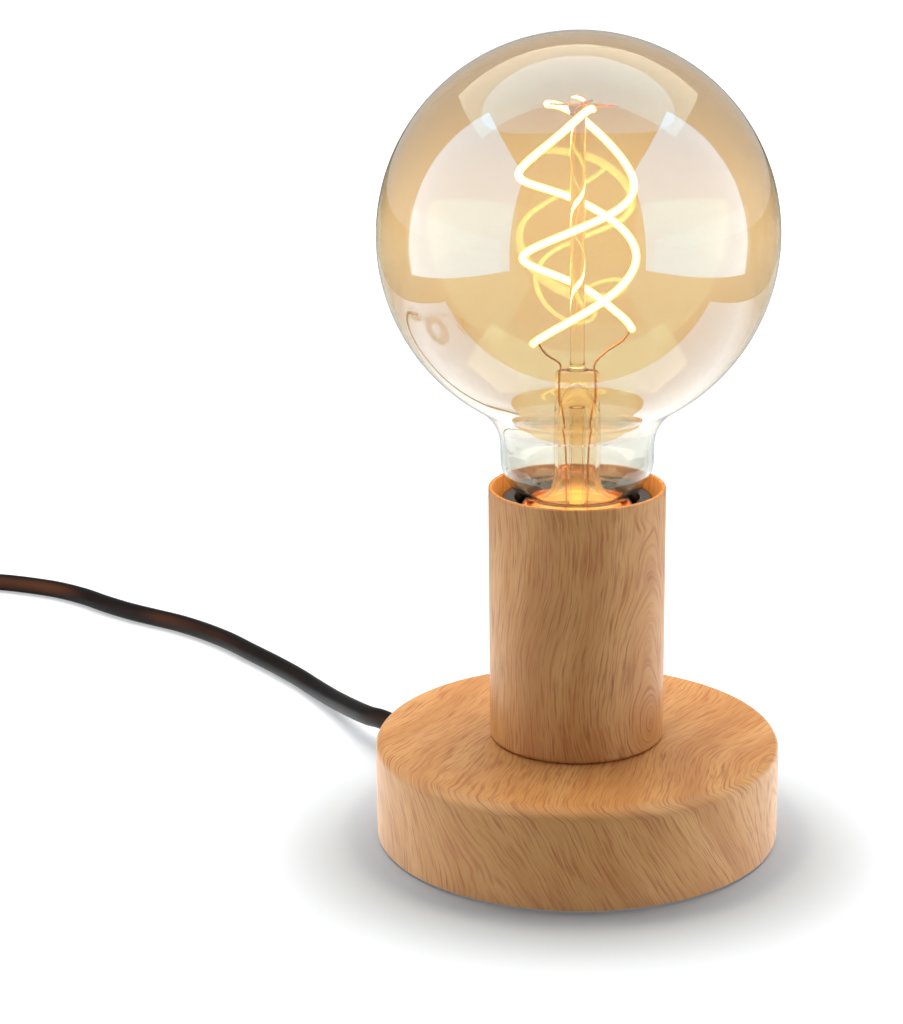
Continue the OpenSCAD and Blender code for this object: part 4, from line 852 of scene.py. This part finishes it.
def tree_with(name, **inputs):
    """An empty Geometry Nodes tree, and its named inputs."""
    tree = bpy.data.node_groups.new(name, "GeometryNodeTree")
    for key, kind in inputs.items():
        tree.interface.new_socket(key.replace("_", " "), in_out="INPUT", socket_type="NodeSocket" + kind)
    tree.interface.new_socket("Result", in_out="OUTPUT", socket_type="NodeSocketGeometry")
    return tree, add(tree, "NodeGroupInput").outputs


def ended(tree, geometry, finish):
    """Ends a tree: what it made becomes a real mesh with its finish."""
    real = add(tree, "GeometryNodeRealizeInstances", {0: geometry})
    done = add(tree, "GeometryNodeSetMaterial", {"Geometry": real, "Material": finish})
    add(tree, "NodeGroupOutput", {0: done})
    return tree


def path_tree():
    """A round wire along every line of the piece, with its ends filled."""
    tree, given = tree_with("wire_along_lines", Lines="Geometry", Wire_Radius="Float", Sides="Int", Finish="Material")
    profile = add(tree, "GeometryNodeCurvePrimitiveCircle", {"Resolution": given["Sides"],
                  "Radius": given["Wire Radius"]})
    swept = add(tree, "GeometryNodeCurveToMesh", {"Curve": given["Lines"], "Profile Curve": profile,
                "Fill Caps": True})
    return ended(tree, swept, given["Finish"])


def ring_tree():
    """Copies of the piece in a ring round Z, each turned with its place."""
    tree, given = tree_with("copies_in_ring", Piece="Geometry", Count="Int", Ring_Radius="Float", First_Turn="Float",
                            Finish="Material")
    places = add(tree, "GeometryNodeMeshCircle", {"Vertices": given["Count"], "Radius": given["Ring Radius"]})
    share = add(tree, "Math", (add(tree, "GeometryNodeInputIndex"), given["Count"]), operation="DIVIDE")
    turn = add(tree, "Math", (share, TAU), operation="MULTIPLY")
    copies = add(tree, "GeometryNodeInstanceOnPoints", {"Points": places, "Instance": given["Piece"],
                 "Rotation": add(tree, "CombineXYZ", {2: turn})})
    start = add(tree, "CombineXYZ", {2: given["First Turn"]})
    ring = add(tree, "GeometryNodeTransform", {"Geometry": copies, "Rotation": start})
    return ended(tree, ring, given["Finish"])


wire_tree, copies_tree = path_tree(), ring_tree()


def grown(piece, tree, **values):
    """Runs a Geometry Nodes tree on a piece with its named inputs, and keeps the plain mesh."""
    tool = piece.modifiers.new("grow", "NODES")
    tool.node_group = tree
    ids = {item.name: item.identifier for item in tree.interface.items_tree if item.in_out == "INPUT"}
    for name, value in values.items():
        tool[ids[name.replace("_", " ")]] = value
    piece = settled(piece)
    shaded(piece.data, 50)
    return piece


def wires(name, lines, radius, finish, sides=12):
    """Round wires along several lines."""
    curve = bpy.data.curves.new(name, "CURVE")
    curve.dimensions = "3D"
    for line in lines:
        spline = curve.splines.new("POLY")
        spline.points.add(len(line) - 1)
        for point, place in zip(spline.points, line):
            point.co = (*(Vector(place) * MM), 1)
    return grown(in_scene(name, curve), wire_tree, Wire_Radius=radius * MM, Sides=sides, Finish=finish)


# Height as a share of the rod's, azimuth, and distance from the axis as a share of the spiral's
SPIRALS = {
    "a": [(1, 160, 0.585), (0.952, 95, 0.731), (0.714, 0, 1), (0.576, -90, 1.015), (0.429, -180, 1),
          (0.289, -270, 0.969), (0.197, -315, 1), (0.149, -352, 1.015)],
    "b": [(1, -62, 0.585), (0.968, -90, 0.692), (0.749, -180, 1.062), (0.613, -270, 1.038), (0.437, -360, 1.062),
          (0.249, -450, 1), (0.124, -508, 0.969)],
}


def spiral(keys, steps=14):
    return [Vector((SPIRAL_R * r * math.cos(math.radians(a)), SPIRAL_R * r * math.sin(math.radians(a)),
                    PINCH_TOP + ROD_H * h)) for h, a, r in along(keys, steps)]


for side, (letter, keys) in zip((1, -1), SPIRALS.items()):
    line = spiral(keys)
    jacket = tube(f"filament_{letter}_jacket", line, FILAMENT_R + 0.05, jacket_finish, sides=20, tip=0.35)
    out(jacket, "bulb", "filament", f"filament_{letter}")
    out(tube(f"filament_{letter}_strip", line[1:-1], 0.62, strip_finish, sides=12, tip=0.15), "bulb", "filament")
    coarse = spiral(keys, 7)
    foot = coarse[-3]
    wire_keys = [
        (side * 2.6, 0.85, BOARD_TOP - 3), (side * 2.6, 0.85, BOARD_TOP), (side * 2.6, 0.3, TAIL_Z + 3),
        (side * 2.7, 0, SHOULDER_Z + 1), (side * 3.4, 0, PINCH_Z - 3), (side * 4.1, 0, PINCH_Z + 2),
        (side * 4.1, 0, PINCH_TOP - 1), (side * 4.2, 0, PINCH_TOP + 1.6), (side * 6.6, foot.y * 0.35, PINCH_TOP + 4),
        (foot.x * 0.86, foot.y * 0.8, foot.z - 3.2), (foot.x, foot.y, foot.z - 0.6)]
    out(wires(f"lead_wire_{letter}_bent", [along(wire_keys, 8)], WIRE_R, copper_wire), "bulb", "nickel",
        f"lead_wire_{letter}")

hooks = []
for azimuth, reach in ((160, 0.585 * SPIRAL_R - 0.6), (-62, 0.585 * SPIRAL_R - 0.6), (-15, 9.6), (70, 9.6)):
    a = math.radians(azimuth)
    hooks.append([(r * math.cos(a), r * math.sin(a), ROD_TOP) for r in (1.85, 0.5 * reach, reach)])
out(wires("top_hooks", hooks, WIRE_R, copper_wire), "bulb", "nickel", "support_wires")


def core_line(side):
    """One core: out of the jacket, round under the tube, up its bore and to a terminal."""
    gap, tube_z, tube_top, terminal_z = (CORE_R + 0.15) * side, 10.5, 35.5, 42
    a = math.radians(EXIT_AZIMUTH)
    ways = [(JACKET_END - 0.05, 0), (JACKET_END - 2, 0), (9, 1.2), (5.5, 1.9), (2.2, 1)]
    keys = [(x * math.cos(a) + gap * math.sin(a), x * math.sin(a) - gap * math.cos(a), EXIT_Z - drop)
            for x, drop in ways]
    keys += [(gap, 0, tube_z - 0.4), (gap, 0, tube_z + 6), (gap, 0, tube_top + 1.5), (side * 3, 0, tube_top + 3.6),
             (side * 7, 0, tube_top + 3.6), (side * 9.5, 0, terminal_z - 1.8), (side * 9.5, 0, terminal_z - 0.2),
             (side * 9.5, 0, terminal_z + 2.6)]
    return along(keys, 6)


out(wires("core_brown", [core_line(1)], CORE_R, core_pvc_brown, 16), "base", "brown_core", "live_core")
out(wires("core_blue", [core_line(-1)], CORE_R, core_pvc_blue, 16), "base", "blue_core", "neutral_core")

# ---- threaded tube and screws


def thread_along(low, high, radius, pitch, finish, name):
    """A helical thread ridge for a tube."""
    count = round((high - low) / pitch * 28)
    line = [(radius * math.cos(TAU * k / 28), radius * math.sin(TAU * k / 28), low + (high - low) * k / count)
            for k in range(count + 1)]
    return wires(name, [line], 0.3, finish, 6)


tube_outline = rounded([(3.9, 10.5, 0.15), (4.55, 10.5, 0.3), (4.7, 11, 0), (4.7, 35, 0), (4.55, 35.5, 0.3),
                        (3.9, 35.5, 0.15)])
out(turned("steel_tube", tube_outline, zinc_plate, 48), "base", "zinc_steel", "threaded_tube")
out(thread_along(11, 35, 4.68, 1, zinc_plate, "steel_tube_thread"), "base", "zinc_steel")


def pan_screw(name, head_r, head_t, shank_r, shank_l, slot_w, place, finish):
    """A screw with its head's top at the origin and its shank going down, crossed by two slots."""
    outline = rounded([(0, 0, 0), (head_r, 0, 0.3), (head_r, -head_t, 0.1), (shank_r, -head_t, 0),
                       (shank_r, -shank_l + 0.8, 0), (shank_r - 0.7, -shank_l, 0), (0, -shank_l, 0)], closed=False)
    screw = turned(name, outline, finish, 40, closed=False)
    slots = [block((-head_r * 0.6, -slot_w / 2, -head_t * 0.6), (head_r * 0.6, slot_w / 2, 1), finish,
                   spin(a), f"{name}_slot_{a}") for a in (0, 90)]
    cut(screw, *slots)
    screw.data.transform(place)
    return screw


plate_screw = pan_screw("plate_screws_turned", 3, 0.6, 1.45, 9.1, 0.7, shift(0, 0, PAD_T) @ spin(180, "X"), zinc_plate)
plate_screw = grown(plate_screw, copies_tree, Count=3, Ring_Radius=38 * MM,
                    First_Turn=math.radians(EXIT_AZIMUTH + 60), Finish=zinc_plate)
out(plate_screw, "base", "zinc_steel", "plate_screws")

# ---- coil tie


def strap():
    """Hook-and-loop strap round the turns, its tail lapped over the top."""
    low_y, high_y = COIL_IN - CORD_R - 0.75, COIL_OUT + CORD_R + 0.75
    top = COIL_Z + COIL_PITCH + CORD_R + 0.35
    corners = [(low_y, TIE_T + 0.0, 2.2), (high_y, TIE_T + 0.0, 2.2), (high_y, top, 2.6), (low_y, top, 2.6)]
    inner = rounded(corners, support=0, count=6)
    outer = rounded([(low_y - TIE_T, 0.0, 2.8), (high_y + TIE_T, 0.0, 2.8), (high_y + TIE_T, top + TIE_T, 3.2),
                     (low_y - TIE_T, top + TIE_T, 3.2)], support=0, count=6)
    half = 4
    rings = []
    for x, line in ((-half, inner), (-half, outer), (half, outer), (half, inner)):
        rings.append([(x, y, z) for y, z in line])
    loop = lofted("coil_tie_strap", rings, tie_nylon, hollow=True, place=shift(LANE_X + COIL_OUT, COIL_Y, 0))
    tab = block((-half + 0.2, low_y + 3.5, top + TIE_T - 0.02), (half - 0.2, low_y + 13, top + 2 * TIE_T - 0.05),
                tie_nylon, shift(LANE_X + COIL_OUT, COIL_Y, 0), "coil_tie_tab")
    edges_rounded(tab, 0.25, 2)
    return edges_rounded(loop, 0.2, 2, 50), tab


strap_loop, strap_tab = strap()
out(strap_loop, "base", "hook_tape", "coil_tie")
out(strap_tab, "base", "hook_tape")

# ---- switch


def plan_ring(inset, z):
    """The housing's outline in plan, drawn in by the inset, as a ring at height z."""
    half, side, tip = SWITCH_L / 2 - inset, SWITCH_W / 2 - inset, 5.5 - 0.6 * inset
    quarter = [(half, tip, max(2.4 - inset, 0.6)), (half - 14 + 0.5 * inset, side, 5)]
    corners = quarter + [(-x, y, r) for x, y, r in quarter[::-1]]
    corners += [(x, -y, r) for x, y, r in corners[::-1]]
    return [(x, y, z) for x, y in rounded(corners, support=0, count=6)]


def housing(name, levels):
    """Half of the switch housing, skinned over its outline at (inset, height) levels."""
    return lofted(name, [plan_ring(inset, z) for inset, z in levels], switch_abs, place=AT_SWITCH)


def hollow(low, high):
    """The hollow of the housing, from one height to another."""
    return housing("hollow", [(2, low), (2, high)])


def cord_ways():
    """The two round ways for the cord, half in each half of the housing."""
    return [bar(CORD_R + 0.1, -4, 4, switch_abs, AT_SWITCH @ shift(x, 0, SWITCH_SPLIT) @ ALONG_X, 32, f"way_{x}")
            for x in (-28, 28)]


def rounded_edge(z, direction, radius, steps=4):
    """Levels of a rounded edge that ends at height z: its insets and heights."""
    quarter = [math.pi / 2 * k / steps for k in range(steps + 1)]
    return [(radius * (1 - math.cos(a)), z - direction * radius * (1 - math.sin(a))) for a in quarter]


low_half = housing("switch_lower_half",
                   rounded_edge(0, -1, 1.0)[::-1] + [(0, SWITCH_SPLIT - 0.35), (0.25, SWITCH_SPLIT)])
cut(low_half, hollow(SWITCH_WALL, 9), *cord_ways())
top_half = housing("switch_upper_half",
                   [(0.25, SWITCH_SPLIT), (0, SWITCH_SPLIT + 0.35)] + rounded_edge(SWITCH_H, 1, 2.2, 6))
cut(top_half, hollow(5, SWITCH_H - SWITCH_WALL),
    block((-10.6, -5.4, 7), (10.6, 5.4, 20), switch_abs, AT_SWITCH, "window"), *cord_ways())
out(low_half, "base", "black_plastic", "switch_base")
out(top_half, "base", "black_plastic", "switch_cover")


def rocker():
    """The dished rocker, pressed down at one end."""
    half_length, dish, lowest = 9.9, 24, 4      # the dish's radius, and its middle's height over the pivot
    line = [(-9.6, -2.0), (-6, -2.9), (6, -2.9), (9.6, -2.0)]
    line += [(x, lowest + dish - math.sqrt(dish ** 2 - x * x))
             for x in [half_length * (1 - k / 12) for k in range(25)]]
    rings = [[(x, y, z) for x, z in line] for y in (-5, 5)]
    place = AT_SWITCH @ shift(0, 0, SWITCH_H - 3.4) @ spin(-8, "Y")
    body = lofted("rocker_dished", rings, rocker_abs, place=place)
    return edges_rounded(body, 0.45, 3)


rocker_piece = out(rocker(), "rocker", "black_gloss", "switch_rocker")

# ---- plug


def plug_ring(x, w, t):
    """A ring of the plug: a flat six-sided section w wide and t thick, with rounded corners."""
    half = [(-w / 2, 0, 3), (-w / 2 + t / 4, -t / 2, 2.5), (w / 2 - t / 4, -t / 2, 2.5)]
    corners = rounded(half + [(-y, -z, r) for y, z, r in half], support=0, count=4)
    ways = [Vector((math.cos(TAU * k / 72), math.sin(TAU * k / 72))) for k in range(72)]
    return [(x, *(way * max(radial_hit(way, corners), 0.1))) for way in ways]


def radial_hit(way, line):
    """How far the closed line is from the origin in a direction."""
    best = 0
    for (ax, ay), (bx, by) in zip(line, line[1:] + line[:1]):
        ex, ey = bx - ax, by - ay
        across = way.x * ey - way.y * ex
        if abs(across) < 1e-9:
            continue
        t = (ax * ey - ay * ex) / across
        s = (ax * way.y - ay * way.x) / across
        if t > 0 and -1e-6 <= s <= 1 + 1e-6:
            best = max(best, t)
    return best


def circle_ring(x, r):
    return [(x, r * math.cos(TAU * k / 72), r * math.sin(TAU * k / 72)) for k in range(72)]


plug_rings = [circle_ring(0, CORD_R + 0.9)]
for k in range(4):                      # the ribs of the cord's guard
    x, r = 0.6 + 2.8 * k, 3.9 + 0.25 * k
    plug_rings += [circle_ring(x + dx, r + dr) for dx, dr in ((0, 0), (1.4, 0.12), (1.5, -0.75), (2.6, -0.7))]
plug_rings += [plug_ring(x, w, t) for x, w, t in (
    (12.4, 10.6, 10), (13, 13, 11), (15, 18.5, 11.6), (17, 24.5, 12.2), (19, 29, 12.7), (21, 30.4, 12.85),
    (26, 32.4, 13.2), (32.6, 34.7, 13.65), (33.5, 34.4, 13.4), (34, 33.2, 12.4))]
plug = out(lofted("plug_moulding", plug_rings, plug_pvc, place=AT_PLUG, sharp=45), "base", "black_plastic",
           "plug_body")

pin_outline = rounded([(0, -5.9, 0), (1.95, -5.9, 0.1), (1.95, 0, 0), (1.4, 0.1, 0), (1.4, 9.9, 0), (2, 10, 0.1),
                       (2, 18.6, 1.0), (1.1, 19, 0.4), (0, 19, 0)], closed=False, step=20)
sleeve_ring = rounded([(1.45, 0.02, 0.05), (1.92, 0.02, 0.05), (1.92, 9.95, 0.1), (1.45, 9.95, 0.05)])
for letter, y, nodes in (("l", -9.3, ("plug_pins", "plug_sleeves")), ("r", 9.3, ())):
    seat = AT_PLUG @ shift(PLUG_L, y, 0) @ ALONG_X
    out(turned(f"plug_pin_{letter}", pin_outline, nickel_plate, 40, closed=False, place=seat), "base", "nickel",
        *nodes[:1])
    out(turned(f"plug_pin_sleeve_{letter}", sleeve_ring, plug_pvc, 40, place=seat), "base", "black_gloss",
        *nodes[1:])

# ---- solids that stay, with their finish

KEPT = {
    iron_cast: ["ballast"],
    zinc_plate: ["bottom_plate", "tube_nut", "lock_washer", "holder_grub_screw", "terminal_screws", "clamp_screws",
                 "switch_screws"],
    holder_phenolic: ["holder_dome"],
    plug_pvc: ["tube_end_bush"],
    carrier_porcelain: ["contact_carrier"],
    brass_sheet: ["centre_contact", "side_contact", "live_terminal", "neutral_terminal", "switch_contacts"],
    clamp_nylon: ["cord_clamp"],
    board_finish: ["driver_board"],
    cap_vitrite: ["cap_insulator"],
    nickel_plate: ["end_contact"],
    core_pvc_brown: ["switch_cores"],
}
for finish, names in KEPT.items():
    for name in names:
        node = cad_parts[name]
        node.data.materials.clear()
        node.data.materials.append(finish)

# ---- floor, world and lamps


# Edges of the small table that the bulb mirrors, and the greys of the floor's paper, in metres and
# linear colour: as seen, greyer than the paper so that its unlifted ring round the base is a painted
# shade; as what its light lands on; and as mirrored outside the table
TABLE_HALF_WIDTH, TABLE_FRONT = 0.32, -0.06
PAPER_SEEN, PAPER_PLAIN, PAPER_DARK = (0.55, 0.60, 0.645, 1), (0.80, 0.85, 0.89, 1), (0.08, 0.08, 0.08, 1)


def pale_floor():
    """Matt white paper, seen greyer than it is. Away from the lamp its own light lifts it to the plain
    white behind; close round the base that lift is left out, a painted shade that deepens the shadow
    there. What the bulb mirrors of it ends at the edges of a small table and is dimmer towards its back."""
    made, tree, shader, place = finish_named("floor_paper", Roughness=1.0, Specular_IOR_Level=0.0,
                                             Emission_Color=WHITE)
    axes = add(tree, "SeparateXYZ", {0: place}).outputs
    aside = add(tree, "Math", {0: axes["X"]}, operation="ABSOLUTE")
    aside = add(tree, "Math", (aside, TABLE_HALF_WIDTH), operation="LESS_THAN")
    behind = add(tree, "Math", (axes["Y"], TABLE_FRONT), operation="GREATER_THAN")
    table = add(tree, "Math", (aside, behind), operation="MULTIPLY")
    dimmed = add(tree, "MapRange", (axes["Y"], 0.32, 0.1, 0.25, 1.0))
    paper = add(tree, "Math", (table, dimmed), operation="MULTIPLY")
    seen, mirror, _ = ray_kinds(tree)
    plain = add(tree, "Math", (1.0, mirror), operation="SUBTRACT")
    tint = add(tree, "Mix", {0: either(tree, paper, plain), 6: PAPER_DARK, 7: PAPER_PLAIN}, data_type="RGBA")
    tint = add(tree, "Mix", {0: seen, 6: tint, 7: PAPER_SEEN}, data_type="RGBA")
    far = add(tree, "VectorMath", {0: place}, operation="LENGTH")
    # The lift starts only past the base's edge: the grey ring it leaves round the base is a painted shade.
    lift_past_painted_shade = add(tree, "MapRange", (far, 0.054, 0.095, 0.0, 0.44), interpolation_type="SMOOTHSTEP")
    far_lift = add(tree, "MapRange", (far, 0.1, 1.3, 0.0, 0.56), interpolation_type="SMOOTHERSTEP")
    lift = add(tree, "Math", (lift_past_painted_shade, far_lift), operation="ADD")
    own = add(tree, "Math", (seen, lift), operation="MULTIPLY")
    close = add(tree, "MapRange", (axes["Y"], 0.22, 0.1, 0.0, 1.2))
    bright = add(tree, "Math", (table, close), operation="MULTIPLY")
    strength = add(tree, "Math", (mirror, bright, own), operation="MULTIPLY_ADD")
    feed(tree, shader, {"Base Color": tint, "Emission Strength": strength})
    return made


FLOOR_REACH = 7
sheet = bpy.data.meshes.new("floor")
sheet.from_pydata([(x * FLOOR_REACH, y * FLOOR_REACH, 0) for x, y in ((-1, -1), (1, -1), (1, 1), (-1, 1))],
                  [], [(0, 1, 2, 3)])
sheet.materials.append(pale_floor())
in_scene("floor", sheet)

world = bpy.data.worlds.new("studio")
bpy.context.scene.world = world
world.use_nodes = True
sky = world.node_tree
seen, mirror, _ = ray_kinds(sky)
way = add(sky, "SeparateXYZ", {0: add(sky, "TexCoord").outputs["Generated"]}).outputs["Y"]
# What is mirrored of the room: dark in front, lighter behind
walls = add(sky, "MapRange", (way, -0.1, 0.4, 0.06, 0.45))
around = add(sky, "Mix", {0: mirror, 2: 0.08, 3: walls})
level = add(sky, "Mix", {0: seen, 2: around, 3: 1.0})
feed(sky, sky.nodes["Background"], (WHITE, level))


def softbox(name, place, size, towards, radiance, gloss=True, diffuse=True, shape="RECTANGLE"):
    """A broad lamp facing a point, by the radiance of its cloth: for what surfaces mirror of
    it, for what it lights, or for both."""
    light = bpy.data.lights.new(name, "AREA")
    light.shape, light.size, light.size_y = shape, size[0], size[1]
    light.energy = radiance * math.pi * size[0] * size[1]
    lamp = in_scene(name, light)
    lamp.location = place
    lamp.rotation_euler = (Vector(towards) - Vector(place)).to_track_quat("-Z", "Y").to_euler()
    lamp.visible_camera, lamp.visible_glossy, lamp.visible_diffuse = False, gloss, diffuse


for name, x in (("left", -0.52), ("right", 0.52)):
    softbox(f"lamp_{name}", (x, -0.20, 0.11), (0.75, 0.22), (0, -0.20, 0.11), 1.8, gloss=False)
    softbox(f"mirrored_{name}", (0.96 * x, -0.27, 0.42), (0.8, 0.82), (0, -0.27, 0.42), 2.8, diffuse=False)
softbox("lamp_top", (0, 0.50, 1.0), (1.7, 1.1), (0, 0.45, 0), 4.2, gloss=False)
softbox("mirrored_top", (0, 0.12, 0.98), (1.4, 0.96), (0, 0.12, 0), 0.85, diffuse=False, shape="ELLIPSE")

for name, height, energy, colour, size in (("glow_in_foot", 0.104, 0.02, (1.0, 0.45, 0.1), 0.006),
                                           ("glow_of_filaments", 0.15, 0.40, (1.0, 0.82, 0.50), 0.02)):
    light = bpy.data.lights.new(name, "POINT")
    light.energy, light.color, light.shadow_soft_size = energy, colour, size
    glow = in_scene(name, light)
    glow.location = (0, 0, height)
    glow.visible_camera = glow.visible_glossy = glow.visible_transmission = False

for piece in (coil_cord, strap_loop, strap_tab, low_half, top_half, rocker_piece, plug):
    piece.visible_glossy = False            # out of the bulb's mirrored room, as in the photograph
